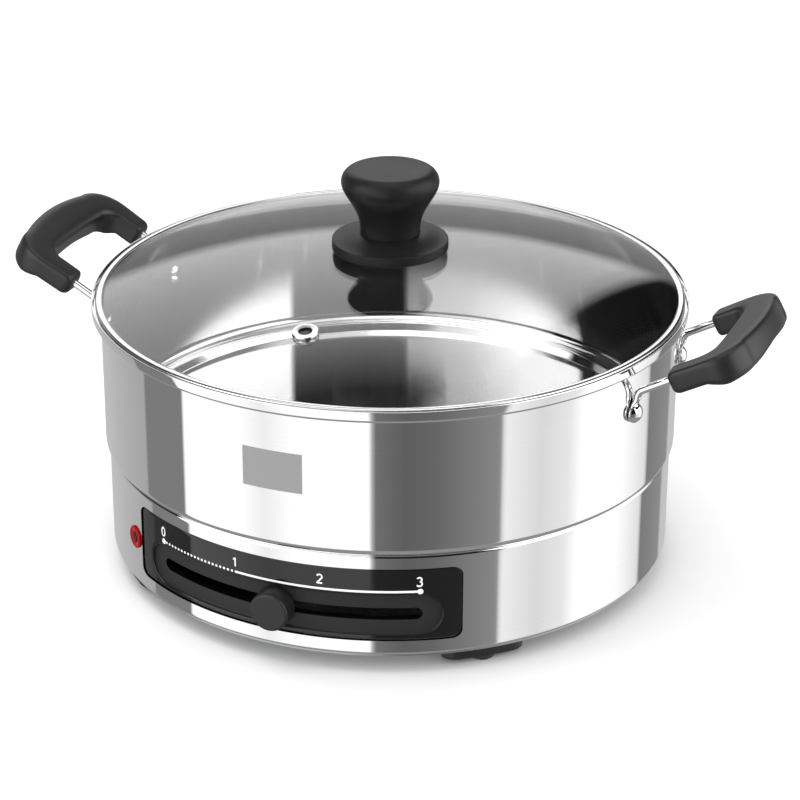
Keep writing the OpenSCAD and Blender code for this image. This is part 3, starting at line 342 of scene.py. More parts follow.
# %% Clear tempered glass
def clear_glass(name, tint):
    """Principled glass for rays that are seen, a plain see-through shader for shadow and diffuse rays."""
    material, tree, shader, film = finish_for(name, FILM, Patches_per_metre=20.0)
    shader.inputs["Base Color"].default_value = (*tint, 1)
    shader.inputs["Transmission Weight"].default_value = 1.0
    shader.inputs["IOR"].default_value = 1.52
    between(tree, film, 0.0, 0.025, shader.inputs["Roughness"])
    path = add_node(tree, "ShaderNodeLightPath")
    rays = {0: path.outputs["Is Shadow Ray"], 1: path.outputs["Is Diffuse Ray"]}
    either = add_node(tree, "ShaderNodeMath", rays, operation="MAXIMUM")
    through = add_node(tree, "ShaderNodeBsdfTransparent", {"Color": (*tint, 1)})
    sides = {0: either.outputs[0], 1: shader.outputs[0], 2: through.outputs[0]}
    mixed = add_node(tree, "ShaderNodeMixShader", sides)
    tree.links.new(mixed.outputs[0], tree.nodes["Material Output"].inputs["Surface"])
    return material


GLASS = clear_glass("clear tempered glass", (0.95, 0.95, 0.95))

# %% Red lamp, off
RED = ((0.24, 0.004, 0.006), (0.36, 0.007, 0.009))
DEEP_RED = ((0.03, 0.001, 0.001), (0.06, 0.002, 0.002))
LENS = grained("red lamp lens", *RED, (0.08, 0.16), 500.0, 0.000002, shine=0.12)
DEEP_LENS = grained("red lamp core", *DEEP_RED, (0.08, 0.16), 500.0, 0.000002, shine=0.12)
print("finishes with glass and lamp:", len(bpy.data.materials))

# %% [markdown]
# ## Putting a piece in place
# Each new piece gets a finish and the moving body it rides on, and the CAD nodes it replaces are hidden. Some
# pieces have a second finish on part of their faces.

# %% Helpers for pieces
def settle(thing, body, slot, finish, *nodes):
    """Gives a piece its finish and its body, and hides the CAD nodes that it stands for. The slot is not used."""
    thing.data.materials.append(finish)
    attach(thing, body)
    if nodes:
        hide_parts(*nodes)
    thing.data.calc_loop_triangles()
    print("%s: %d triangles" % (thing.name, len(thing.data.loop_triangles)))


def second_finish(thing, finish, chosen):
    """Another finish for the faces that chosen picks from their middles, in millimetres, and their normals."""
    middle, normal = np.empty(len(thing.data.polygons) * 3), np.empty(len(thing.data.polygons) * 3)
    thing.data.polygons.foreach_get("center", middle)
    thing.data.polygons.foreach_get("normal", normal)
    mask = chosen(middle.reshape(-1, 3) * 1000, normal.reshape(-1, 3))
    thing.data.materials.append(finish)
    thing.data.polygons.foreach_set("material_index", mask.astype(np.int32))
    print("%s: %d of %d faces are %s" % (thing.name, mask.sum(), len(mask), finish.name))


# %% [markdown]
# ## The pot
# The bowl is drawn from one sheet of steel: sunk cooking floor, a narrow seat ring, an upright wall and a rim
# that steps out for the lid. It is a turned shape, so one profile, down the outside and back up the inside,
# is carried round the axis. Small radii at the edges catch the thin light lines that sheet steel shows. The
# outside is a mirror, the inside is brushed, so the inner faces get a second finish.

# %% Bowl
outside = [
    (0, Z_FLOOR), (FLOOR_R, Z_FLOOR), (SEAT_IN, Z_SEAM), (POT_R, Z_SEAM),
    (POT_R, Z_STEP), (RIM_R, Z_STEP), (RIM_R, Z_RIM),
]
outside_r = [0, 0.8, 0.8, 4.0, 0.25, 1.6, 0.38]
inside = [
    (RIM_R - POT_T, Z_RIM), (RIM_R - POT_T, Z_STEP + POT_T), (POT_R - POT_T, Z_STEP + POT_T),
    (POT_R - POT_T, Z_SEAM + POT_T), (SEAT_IN, Z_SEAM + POT_T), (FLOOR_R, Z_FLOOR + POT_T), (0, Z_FLOOR + POT_T),
]
inside_r = [0.38, 0.5, 0.3, 4.4, 0.8, 0.8, 0]
bowl = surface("pot_bowl", [spun(rounded(outside + inside, outside_r + inside_r, 10), 360)], close_v=True)
settle(bowl, "cooker", "polished_steel", MIRROR, "pot_floor", "pot_wall", "pot_rim")


def inside_bowl(middle, normal):
    """Faces below the rim's step that look up or towards the axis: minus the normal's share along the radius."""
    inwards = -(middle[:, :2] * normal[:, :2]).sum(1) / np.maximum(np.hypot(middle[:, 0], middle[:, 1]), 1e-6)
    return (np.maximum(inwards, normal[:, 2]) > 0.3) & (middle[:, 2] < Z_STEP)


# The brushed inside also carries painted shade where light has been mirrored twice.
second_finish(bowl, BRUSHED_WITH_PAINTED_SHADE, inside_bowl)

# %% [markdown]
# ## The base wall
# The base is a steel ring with turned-in edges, with a window for the control panel in front and one for the
# inlet at the back. The ring is turned like the bowl. The windows are cut by round-cornered blocks with a
# Boolean modifier, which keeps the wall's own points, so the mirror stays true right up to the cut.

# %% Outlines seen from the front
def soft_box(half_w, half_h, corner, steps=10):
    """Rectangle with round corners about the origin, counter-clockwise."""
    corners = [(half_w, half_h), (-half_w, half_h), (-half_w, -half_h), (half_w, -half_h)]
    return rounded(corners, [corner] * 4, steps, closed=True)


def block(name, outline, height, front):
    """Closed block: the outline, upright at the front or the back, carried along Y through the wall."""
    y = np.array([100.0, 175.0]) * (-1 if front else 1)
    side = np.stack([np.stack([outline[:, 0], 0 * outline[:, 0] + d, outline[:, 1] + height], -1) for d in y])
    middle = side.mean(1, keepdims=True) + 0 * side
    return surface(name, [np.concatenate([middle[:1], side, middle[1:]])], close_v=True)


# %% Ring with its windows
ring = [
    (SEAT_IN + 0.4, Z_SEAM - SHELL_T), (SEAT_IN + 0.4, Z_SEAM), (BASE_R, Z_SEAM), (BASE_R, Z_BASE),
    (BASE_R - 9, Z_BASE), (BASE_R - 9, Z_BASE + SHELL_T),
    (BASE_R - SHELL_T, Z_BASE + SHELL_T), (BASE_R - SHELL_T, Z_SEAM - SHELL_T),
]
ring = rounded(ring, [0, 0, 1.6, 1.6, 0, 0, 0.8, 0.8], 10, closed=True)
wall = surface("base_wall", [spun(ring, 360)], close_u=True, close_v=True)
cutters = [
    block("window_block", soft_box(WINDOW_HALF, WINDOW_H / 2, WINDOW_CORNER), Z_WINDOW, True),
    block("inlet_block", soft_box(INLET_HALF_W, INLET_HALF_H, INLET_CORNER), Z_INLET, False),
]
for cutter in cutters:
    cut = wall.modifiers.new(cutter.name, "BOOLEAN")
    cut.operation, cut.object, cut.solver = "DIFFERENCE", cutter, "EXACT"
bpy.context.view_layer.update()
carved = bpy.data.meshes.new_from_object(wall.evaluated_get(bpy.context.evaluated_depsgraph_get()))
wall.modifiers.clear()
wall.data = carved
for cutter in cutters:
    bpy.data.objects.remove(cutter)
carved.polygons.foreach_set("use_smooth", np.ones(len(carved.polygons), bool))
carved.set_sharp_from_angle(angle=np.radians(38))
settle(wall, "cooker", "polished_steel", MIRROR, "base_shell")

# %% [markdown]
# ## The control panel
# The panel is one moulding: a glossy face, a sunk matt track and a slot. All its outlines are closed loops,
# from the window's edge in to the slot, so the surface is a stack of loops with the same number of points.
# A loop has a shape seen from the front and a radius from the pot's axis, which wraps it onto the round wall.

# %% Loops of the panel
def oblong_loop(half, height, n):
    """Slot with round ends, counter-clockwise from its right end's lowest point: n points on each quarter."""
    r, k = height / 2, np.linspace(0, 1, n, endpoint=False)
    end = np.stack([half - r + r * np.cos(np.pi * (k - 0.5)), r * np.sin(np.pi * (k - 0.5))], -1)
    top = np.stack([(half - r) * (1 - 2 * k), r + 0 * k], -1)
    return np.concatenate([end, top, -end, -top])


def window_loop(half, height, corner, n):
    """Round-cornered window with the same order and count of points: an end is a corner, a side and a corner."""
    k = np.linspace(0, 1, n, endpoint=False)
    h, w = height / 2, half
    low = np.clip(k / 0.35, 0, 1) * np.pi / 2
    high = np.clip((k - 0.65) / 0.35, 0, 1) * np.pi / 2
    x = w - corner + corner * np.where(k < 0.5, np.sin(low), np.cos(high))
    y = np.where(k < 0.5, corner - h - corner * np.cos(low), h - corner + corner * np.sin(high))
    y = y + (2 * h - 2 * corner) * (np.clip((k - 0.35) / 0.3, 0, 1) - (k >= 0.5))
    top = np.stack([(w - corner) * (1 - 2 * k), h + 0 * k], -1)
    end = np.stack([x, y], -1)
    return np.concatenate([end, top, -end, -top])


def wrapped(loop, height, radius):
    """Loop of (x, z) on a round wall: y = -sqrt(radius squared - x squared)."""
    return np.stack([loop[:, 0], -np.sqrt(radius ** 2 - loop[:, 0] ** 2), loop[:, 1] + height], -1)


COUNT = 120
PANEL_HALF, PANEL_H, PANEL_UP = WINDOW_HALF - 0.25, WINDOW_H - 0.5, [0, Z_WINDOW - Z_TRACK]
edge = lambda inset: window_loop(PANEL_HALF - inset, PANEL_H - 2 * inset, WINDOW_CORNER, COUNT) + PANEL_UP
track = lambda inset: oblong_loop(TRACK_HALF - inset, TRACK_H - 2 * inset, COUNT)
slot = lambda inset: oblong_loop(SLOT_HALF - inset, SLOT_H - 2 * inset, COUNT)
at_depth = lambda loop, pairs: [wrapped(loop(i), Z_TRACK, PANEL_R - d) for i, d in pairs]
face = at_depth(edge, ((0.0, 3.5), (0.0, 0.7), (0.1, 0.35), (0.35, 0.1), (0.7, 0.0)))
face += [wrapped(edge(0.7) * (1 - k) + track(-0.45) * k, Z_TRACK, PANEL_R) for k in np.linspace(0, 1, 10)[1:]]
face += at_depth(track, ((-0.2, 0.05), (0.0, 0.2)))
panel_face = surface("panel_face", [np.stack(face)], close_v=True, sharp=60)
settle(panel_face, "cooker", "panel_gloss", GLOSS, "control_panel")
depth = PANEL_R - TRACK_R
floor = at_depth(track, ((0.0, 0.2), (0.12, 0.5), (0.25, depth - 0.5), (0.4, depth - 0.2), (0.8, depth)))
floor += [wrapped(track(0.8) * (1 - k) + slot(-0.4) * k, Z_TRACK, TRACK_R) for k in np.linspace(0, 1, 12)[1:]]
floor += at_depth(slot, ((-0.15, depth + 0.08), (0.0, depth + 0.35), (0.0, depth + 4.0), (-2.0, depth + 4.2)))
panel_track = surface("panel_track", [np.stack(floor)], close_v=True, sharp=60)
settle(panel_track, "cooker", "panel_gloss", TRACK)
# Faces down in the slot, below the track floor, get the painted shade.
second_finish(panel_track, SLOT_PAINTED_SHADE, lambda middle, normal: np.hypot(middle[:, 0], middle[:, 1]) < TRACK_R - 0.2)

# %% [markdown]
# ## The printed scale
# A dotted stretch, a line, two end dots and the digits 0 to 3 are printed on the panel's face. A texture would
# need the export to bake a fine mask, so the print is thin ribbons and discs, a twentieth of a millimetre proud.

# %% Ribbons and dots on the panel
PRINT_R = PANEL_R + 0.05
Z_LINE, Z_DIGIT = Z_BASE + 34.4, Z_BASE + 39.6


def ribbon(path, width):
    """Flat stroke along a path of (x, z): the path shifted to both sides by half the width along its normal."""
    step = np.gradient(path, axis=0)
    normal = np.stack([-step[:, 1], step[:, 0]], -1) / np.linalg.norm(step, axis=1)[:, None]
    return np.stack([path + normal * width * s for s in (-0.5, 0.5)])


def printed(flat_grid):
    """Flat grid of (x along the wall, z) wrapped round the panel's radius: the angle is x divided by the radius."""
    a = flat_grid[..., 0] / PRINT_R
    return np.stack([PRINT_R * np.sin(a), -PRINT_R * np.cos(a), flat_grid[..., 1]], -1)


def disc(x, z, r):
    """Round dot: rings of points from the middle out."""
    a, k = np.linspace(0, 2 * np.pi, 25), np.linspace(0, 1, 3)[:, None]
    return np.stack([x + r * k * np.cos(a), z + r * k * np.sin(a)], -1)


def curve(*points):
    """Path through points given in digit heights, each pair joined by a few straight steps."""
    p = np.array(points, float)
    t = np.linspace(0, len(p) - 1, 8 * (len(p) - 1) + 1)
    return np.stack([np.interp(t, np.arange(len(p)), p[:, i]) for i in (0, 1)], -1)


def turn(cx, cy, rx, ry, a0, a1):
    """Arc of an ellipse about (cx, cy), from angle a0 to a1 in degrees."""
    a = np.radians(np.linspace(a0, a1, 25))
    return np.stack([cx + rx * np.cos(a), cy + ry * np.sin(a)], -1)


DIGITS = {
    "0": [turn(0, 0.5, 0.27, 0.5, 0, 360)],
    "1": [curve((-0.2, 0.78), (0.04, 1.0), (0.04, 0.0))],
    "2": [np.concatenate([turn(0, 0.72, 0.27, 0.28, 160, -35), curve((0.2, 0.55), (-0.29, 0.0), (0.3, 0.0))])],
    "3": [turn(0, 0.75, 0.25, 0.25, 150, -80), turn(0, 0.26, 0.29, 0.27, 85, -150)],
}
arc_x = lambda degrees: np.radians(degrees) * PRINT_R
line = np.stack([np.linspace(arc_x(-8.6), arc_x(28.1), 60), np.full(60, Z_LINE)], -1)
marks = [printed(ribbon(line, 1.15))]
marks += [printed(disc(arc_x(d), Z_LINE, 1.45)) for d in (-28.1, 28.1)]
marks += [printed(disc(arc_x(d), Z_LINE, 0.66)) for d in np.linspace(-28.1, -8.6, 22)[1:]]
for digit, d in zip("0123", (-28.2, -8.8, 8.9, 27.9)):
    marks += [printed(ribbon(path * 4.6 + [arc_x(d), Z_DIGIT - 2.3], 0.78)) for path in DIGITS[digit]]
scale_print = surface("scale_print", marks)
settle(scale_print, "cooker", "panel_gloss", PRINT)

# %% [markdown]
# ## Slider knob and lamp
# Both are small turned pieces that stand on the round wall. Their profiles are turned round the Z axis and
# then carried to their place, with Z outwards.

# %% Turned buttons
knob_back = TRACK_R + 0.8
button = rounded([(0, 0), (9.4, 0), (10, 0.8), (10, 10.3), (0, 10.3)], [0, 0.3, 0.4, 1.4, 0], 10)
slider = surface("slider_button", [on_wall(spun(button, 128), knob_back, Z_TRACK, 0)], close_v=True)
settle(slider, "slider", "black_resin", RESIN, "slider_knob")
LAMP_TURN = -np.degrees(np.arcsin(WINDOW_HALF / BASE_R) + (1.2 + 5.9) / BASE_R)
LAMP_Z, CORE_R = Z_BASE + 25.3, 3.0
lens_shape = [(0, -3), (4.4, -3), (4.4, 0), (5.9, 0), (5.9, 0.7), (5.0, 1.1), (3.2, 0.6), (2.4, 0.9), (0, 1.0)]
lens_shape = rounded(lens_shape, [0, 0, 0, 0.2, 0.3, 0.5, 0.5, 0.8, 0], 8)
lamp = surface("lamp_button", [on_wall(spun(lens_shape, 96), BASE_R + 0.05, LAMP_Z, LAMP_TURN)], close_v=True)
settle(lamp, "cooker", "lamp_red", LENS, "lamp_lens")


def lamp_core(middle, normal):
    """Faces close to the lamp's axis: their height and their way along the wall from it, squared and summed."""
    a = np.radians(LAMP_TURN)
    return (middle[:, :2] @ [np.cos(a), np.sin(a)]) ** 2 + (middle[:, 2] - LAMP_Z) ** 2 < CORE_R ** 2


second_finish(lamp, DEEP_LENS, lamp_core)

# %% [markdown]
# ## The bare plate
# A small satin plate lies on the pot's front. It is a thin curved sheet a tenth of a millimetre proud.

# %% Plate on the pot
a, z = np.radians(np.linspace(-5.8, 6.1, 24)), Z_BASE + np.linspace(85.0, 105.4, 4)
sheet = lambda r: np.stack(np.broadcast_arrays(r * np.sin(a), -r * np.cos(a), z[:, None]), -1)
front = sheet(POT_R + 0.12)
back = sheet(POT_R - 0.2)
rim_order = lambda g: np.concatenate([g[0, :-1], g[:-1, -1], g[-1, :0:-1], g[:0:-1, 0]])
edges = np.stack([rim_order(front), rim_order(back)])
plate = surface("bare_plate", [front, back], sharp=30)
band = surface("bare_plate_edge", [edges], close_v=True)
settle(plate, "cooker", "polished_steel", PLATE)
settle(band, "cooker", "polished_steel", PLATE)

# %% [markdown]
# ## Grips
# Each grip is a loop of black resin: two arms on the rods and a bar between them. An inner and an outer edge
# run from one arm's end round to the other's, and a soft-cornered section spans them at each station: a
# superellipse, whose power sets how square its corners are.

# %% Loft of a grip
GRIP_START, HOLE_HALF, HOLE_TURN, HOLE_CORNER, HOLE_BOW = 16.3, 32.05, 29.05, 8.1, 0.75
ARM_SIDE, GRIP_SIDE, GRIP_TURN, GRIP_CORNER, GRIP_BOW = 45.15, 46.15, 37.5, 17.5, 3.6
TILT, Z_HANDLE, ROD_SIDE = np.radians(28.9), Z_RIM - 15.3, 38.6
ARM_SHARE, BAR_SHARE, END_ROUND, GRIP_TOP = 0.36, 0.66, 2.6, 5.2


def grip_edges(k):
    """Inner and outer edge for k from 0 (arm's end) to 1 (bar's middle): an arm, a corner arc, a bowed bar."""
    arm = np.clip(k / ARM_SHARE, 0, 1)
    bar = np.clip((k - BAR_SHARE) / (1 - BAR_SHARE), 0, 1)
    a = (np.clip((k - ARM_SHARE) / (BAR_SHARE - ARM_SHARE), 0, 1) - 1) * np.pi / 2
    on_arm, on_corner, bow = k < ARM_SHARE, k < BAR_SHARE, bar * (2 - bar)

    def edge(turn, half, side, corner, bulge):
        """Arm from (start, side) to (turn, half), an arc of radius corner, then a bar with a bulge."""
        s = np.where(on_arm, GRIP_START + (turn - GRIP_START) * arm, turn + corner * np.cos(a) + bulge * bow)
        t = np.where(on_corner, corner - half + corner * np.sin(a), (corner - half) * (1 - bar))
        return np.stack([s, np.where(on_arm, -side - (half - side) * smooth(arm), t)], -1)

    inner = edge(HOLE_TURN, HOLE_HALF, HOLE_HALF, HOLE_CORNER, HOLE_BOW)
    return inner, edge(GRIP_TURN, GRIP_SIDE, ARM_SIDE, GRIP_CORNER, GRIP_BOW)


def grip_grid(side):
    """Sections of the grip on the +X side (side = 1) or the -X side (side = -1), with rounded closed ends."""
    end = ARM_SHARE * END_ROUND / (HOLE_TURN - GRIP_START)
    round_off = end * (1 - np.cos(np.linspace(0, np.pi / 2, 10)))
    straight = np.linspace(end, ARM_SHARE, 14)[1:]
    corner, bar = np.linspace(ARM_SHARE, BAR_SHARE, 26)[1:], np.linspace(BAR_SHARE, 1, 16)[1:]
    k = np.concatenate([round_off, straight, corner, bar])
    inner, outer = grip_edges(k)
    left = np.clip(END_ROUND - (inner[:, 0] - GRIP_START), 0, None) * (k < ARM_SHARE)
    less = END_ROUND - np.sqrt(END_ROUND ** 2 - left ** 2)
    high = 12.1 + 3.9 * smooth((k - 0.31) / 0.16) - 1.8 * smooth((k - BAR_SHARE) / (1 - BAR_SHARE))
    across = outer - inner
    span = np.linalg.norm(across, axis=1)
    a = np.linspace(0, 2 * np.pi, 72, endpoint=False)
    power = lambda v: np.sign(v) * np.abs(v) ** 0.43
    reach = (0.5 - less / span)[:, None] * power(np.cos(a))
    flat = (inner + outer)[:, None] / 2 + across[:, None] * reach[..., None]
    n = GRIP_TOP - high[:, None] / 2 + (high / 2 - less)[:, None] * power(np.sin(a))
    first = np.concatenate([flat, n[..., None]], -1)
    grid = np.concatenate([first, (first * [1, -1, 1])[-2::-1]])
    ends = [grid[i:i + 1].mean(1, keepdims=True) + 0 * grid[:1] for i in (0, len(grid) - 1)]
    s, t, n = np.moveaxis(np.concatenate([ends[0], grid, ends[1]]), -1, 0)
    out, up = POT_R + s * np.cos(TILT) - n * np.sin(TILT), Z_HANDLE + s * np.sin(TILT) + n * np.cos(TILT)
    return np.stack([side * out, t, up], -1)


for name, side in (("grip_left", -1), ("grip_right", 1)):
    moulding = surface(name + "_moulding", [grip_grid(side)], close_v=True, sharp=50)
    settle(moulding, "cooker", "black_resin", RESIN, name)

# %% [markdown]
# ## Handle rods and rivets
# A rod comes straight out of the grip, bends down at the wall, and its end is hammered flat to an eye. It is one
# section carried along one path: the section starts round, then its width grows as its thickness shrinks.

# %% Bent rods with flattened eyes
ROD_R, EYE_R, BEND_R, FLAT_RUN = 2.0, 5.0, 5.0, 5.0
ROOT = POT_R + 0.35 + ROD_R
TURN = np.arcsin(ROD_SIDE / ROOT)
BEND_X = ROOT * np.cos(TURN) + BEND_R
BEND_OUT = BEND_X - BEND_R * np.sin(TILT) - POT_R
Z_BEND = Z_HANDLE + BEND_OUT * np.tan(TILT) - BEND_R * np.cos(TILT)
Z_RIVET = Z_BEND - 3 - EYE_R - 0.6


def rod_grid(side, end):
    """One rod: path points, a sideways and a thickness direction, and half sizes, one row for each station."""
    along = np.linspace(GRIP_START + 27, BEND_OUT / np.cos(TILT), 12)[:, None] * [np.cos(TILT), 0, np.sin(TILT)]
    along = along + [POT_R, 0, Z_HANDLE]
    a = np.linspace(np.pi / 2 + TILT, np.pi, 14)[1:, None]
    bend = np.concatenate([BEND_X + BEND_R * np.cos(a), 0 * a, Z_BEND + BEND_R * np.sin(a)], 1)
    last = Z_RIVET + 3 - (3 + EYE_R) * np.sin(np.linspace(0, np.pi / 2, 26))
    z = np.concatenate([np.linspace(Z_BEND, Z_RIVET + 3, 14)[1:], last[1:]])[:, None]
    down = np.concatenate([0 * z + BEND_X - BEND_R, 0 * z, z], 1)
    path = np.concatenate([along, bend, down]) + [0, end * ROD_SIDE, 0]
    flat = smooth((Z_BEND - path[:, 2]) / FLAT_RUN) * (np.arange(len(path)) >= len(along) + len(bend))
    twist = end * TURN * flat
    wide = np.stack([-np.sin(twist), np.cos(twist), 0 * twist], -1)
    run = np.gradient(path, axis=0)
    run /= np.linalg.norm(run, axis=1)[:, None]
    thick = np.cross(run, wide)
    thick /= np.linalg.norm(thick, axis=1)[:, None]
    path = path - flat[:, None] * 1.25 * np.array([np.cos(end * TURN), np.sin(end * TURN), 0])
    eye = np.sqrt(np.clip(EYE_R ** 2 - (path[:, 2] - Z_RIVET) ** 2, 0, None))
    below = path[:, 2] < Z_RIVET + 3.84
    half_w = np.where(below, eye, ROD_R + 1.2 * flat)
    half_t = np.where(below, np.minimum(1.0, 0.25 + eye * 0.6), ROD_R - flat)
    half_t = np.where(eye + 0 * half_t < 1e-6, np.where(below, 0.0, half_t), half_t)
    c = np.linspace(0, 2 * np.pi, 40, endpoint=False)
    soft = 1 - 0.35 * flat[:, None]
    power = lambda v: np.sign(v) * np.abs(v) ** soft
    grid = path[:, None] + wide[:, None] * (half_w[:, None] * power(np.cos(c)))[..., None]
    grid = grid + thick[:, None] * (half_t[:, None] * power(np.sin(c)))[..., None]
    grid = np.concatenate([0 * grid[:1] + path[0], grid, 0 * grid[:1] + grid[-1].mean(0)])
    return grid * [side, 1, 1]


for name, side in (("handle_rods_left", -1), ("handle_rods_right", 1)):
    rods = surface(name + "_bent", [rod_grid(side, end) for end in (-1, 1)], close_v=True, sharp=60)
    settle(rods, "cooker", "polished_steel", MIRROR, name)


def cap(d, h, steps=14):
    """Slice of a ball of width d and height h, as a profile from its edge to its top."""
    ball = (d * d / 4 + h * h) / (2 * h)
    a = np.linspace(np.arcsin(min(1, d / 2 / ball)), 0, steps)
    return np.stack([ball * np.sin(a), h - ball + ball * np.cos(a)], -1)


SHANK_R = 2.5
head = np.concatenate([[(0, -2.2), (SHANK_R, -2.2), (SHANK_R, 0), (5.0, 0)], cap(10, 2.8)])
tail = np.concatenate([[(0, -1.0), (SHANK_R, -1.0), (SHANK_R, 0), (4.5, 0)], cap(9, 1.6)])
heads = []
for around in [half + np.degrees(TURN) * s for half in (90, -90) for s in (-1, 1)]:
    heads.append(on_wall(spun(head, 64), POT_R + 2.1, Z_RIVET, around))
    heads.append(on_wall(spun(tail, 64) * [1, 1, -1], POT_R - POT_T - 0.1, Z_RIVET, around))
settle(surface("rivet_heads", heads, close_v=True), "cooker", "polished_steel", MIRROR, "handle_rivets")

# %% [markdown]
# ## The lid
# The glass is a shallow slice of a ball with a rounded edge, and a steel band is rolled round that edge.
# Both are turned. The band's profile is a thin strip bent round the glass.

# %% Dome and band
BAND_R, LIP_R, GLASS_T = 150.6, 146.7, 3.2
GLASS_R = BAND_R - 0.8
DOME_R = (LIP_R ** 2 + 22.0 ** 2) / 44.0
Z_BAND = Z_STEP + POT_T + 0.3
Z_DOME = Z_BAND + 0.6 - np.sqrt((DOME_R - GLASS_T) ** 2 - GLASS_R ** 2)
Z_APEX = Z_DOME + DOME_R
top_of = lambda r: Z_DOME + np.sqrt(DOME_R ** 2 - r ** 2)
under_of = lambda r: Z_DOME + np.sqrt((DOME_R - GLASS_T) ** 2 - r ** 2)
r = np.linspace(2.7, GLASS_R - 0.8, 60)
rise, fall = top_of(GLASS_R), under_of(GLASS_R)
bead = [(GLASS_R - 0.2, rise - 0.5), (GLASS_R, rise - 1.2), (GLASS_R, fall + 1.2), (GLASS_R - 0.2, fall + 0.5)]
dome = np.concatenate([np.stack([r, top_of(r)], -1), bead, np.stack([r, under_of(r)], -1)[::-1]])
glass = surface("lid_dome", [spun(dome, 320)], close_u=True, close_v=True)
settle(glass, "lid", "lid_glass", GLASS, "lid_glass")
a = np.radians(np.linspace(0, 147, 30))[:, None]
crown = [148.65, top_of(LIP_R) - 0.75] + np.concatenate([1.95 * np.cos(a), 1.2 * np.sin(a)], 1)
under = [(BAND_R - 0.5, top_of(BAND_R - 0.5) + 0.1), (BAND_R - 0.5, under_of(BAND_R - 0.5) - 0.1),
         (LIP_R, under_of(LIP_R) - 0.1), (LIP_R, under_of(LIP_R) - 0.6), (GLASS_R, Z_BAND), (BAND_R, Z_BAND)]
strip = np.concatenate([crown, rounded(under, [0.3, 0.3, 0.2, 0.2, 1.0, 0.9], 8)])
band = surface("lid_band_rolled", [spun(strip, 360)], close_u=True, close_v=True)
settle(band, "lid", "polished_steel", ROLLED, "lid_band")
print("glass apex at z = %.2f mm" % Z_APEX)

# %% [markdown]
# ## Steam eyelet
# A steel eyelet lines a hole near the lid's front edge. It is turned round its own axis, which leans out with
# the dome, so its grid is tilted by the dome's slope there.

# %% Eyelet
def on_dome(grid, distance, angle):
    """Leans a grid drawn round the Z axis onto the dome, so that its z = 0 lies on the outer face."""
    lean, a = np.arcsin(distance / DOME_R), np.radians(angle)
    x, y, z = grid[..., 0], grid[..., 1], grid[..., 2] + DOME_R
    y, z = y * np.cos(lean) - z * np.sin(lean), y * np.sin(lean) + z * np.cos(lean) + Z_DOME
    return np.stack([x * np.cos(a) - y * np.sin(a), x * np.sin(a) + y * np.cos(a), z], -1)


EYELET_AT, BORE_R, TUBE_R, FLANGE_R = (97.0, -2.5), 3.3, 4.5, 6.7
eyelet_shape = [
    (BORE_R, -4.4), (FLANGE_R, -4.4), (FLANGE_R, -3.25), (TUBE_R, -3.25),
    (TUBE_R, 0), (FLANGE_R, 0), (FLANGE_R - 0.1, 1.2), (BORE_R, 1.0),
]
eyelet_shape = rounded(eyelet_shape, [0.2, 0.4, 0.2, 0.2, 0, 0.1, 0.4, 0.3], 6, closed=True)
eyelet = surface("eyelet_rolled", [on_dome(spun(eyelet_shape, 96), *EYELET_AT)], close_u=True, close_v=True)
settle(eyelet, "lid", "polished_steel", ROLLED, "steam_eyelet")


def eyelet_bore(middle, normal):
    """Faces of the bore: closer to the eyelet's own axis, which runs from the dome's centre through its foot."""
    foot = on_dome(np.zeros((1, 1, 3)), *EYELET_AT)[0, 0] - [0, 0, Z_DOME]
    axis, away = foot / np.linalg.norm(foot), middle - [0, 0, Z_DOME]
    return np.linalg.norm(away - (away @ axis)[:, None] * axis, axis=1) < BORE_R + 0.15


# The bore faces get the painted shade, so the hole reads dark.
second_finish(eyelet, BORE_PAINTED_SHADE, eyelet_bore)

# %% [markdown]
# ## Knob and guard disc
# The knob's neck swells to a broad flat top. Its radius is the neck's plus a slow-start, slow-stop rise of the
# height raised to 1.6, which keeps the neck slim for long and swells late, then a round shoulder. The guard disc
# under it keeps fingers off the hot glass. Its top rises to a low collar round the neck.

# %% Turned knob
Z_GUARD = Z_APEX + 0.8
Z_KNOB = Z_GUARD + 5.0
GUARD_R, COLLAR_R, COLLAR_H = 29.7, 15.3, 3.4
r = np.linspace(GUARD_R - 1.2, COLLAR_R, 24)
slope = np.stack([r, Z_KNOB + COLLAR_H * smooth((GUARD_R - r) / (GUARD_R - COLLAR_R))], -1)
brim = rounded([(0, Z_GUARD), (GUARD_R, Z_GUARD), (GUARD_R, Z_KNOB), slope[0]], [0, 0.6, 0.5, 0], 8)
guard_shape = np.concatenate([brim[:-1], slope, [(COLLAR_R, Z_KNOB), (0, Z_KNOB)]])
guard = surface("guard_disc", [spun(guard_shape, 200)], close_v=True)
settle(guard, "lid", "black_resin", KNOB_RESIN, "knob_guard")
NECK_R, TOP_R, SWELL_H, KNOB_H, SHOULDER = 15.1, 24.9, 30.4, 37.0, 6.2
u = np.linspace(0, 1, 60)
swell = np.stack([NECK_R + (TOP_R - NECK_R) * smooth(u ** 1.6), Z_KNOB + SWELL_H * u], -1)
a = np.radians(np.linspace(0, 90, 20))[1:]
shoulder = np.stack([TOP_R - SHOULDER * (1 - np.cos(a)), Z_KNOB + SWELL_H + (KNOB_H - SWELL_H) * np.sin(a)], -1)
knob_shape = np.concatenate([[(0, Z_KNOB)], swell, shoulder, [(0, Z_KNOB + KNOB_H)]])
knob = surface("knob_turned", [spun(knob_shape, 200)], close_v=True)
settle(knob, "lid", "black_resin", KNOB_RESIN, "lid_knob")

# %% [markdown]
# ## Feet and pads
# A foot is an arc-shaped skid with round ends and soft lower edges. Its section is carried along the arc and
# shrinks to nothing round each end. The rubber button under it is a turned pill.

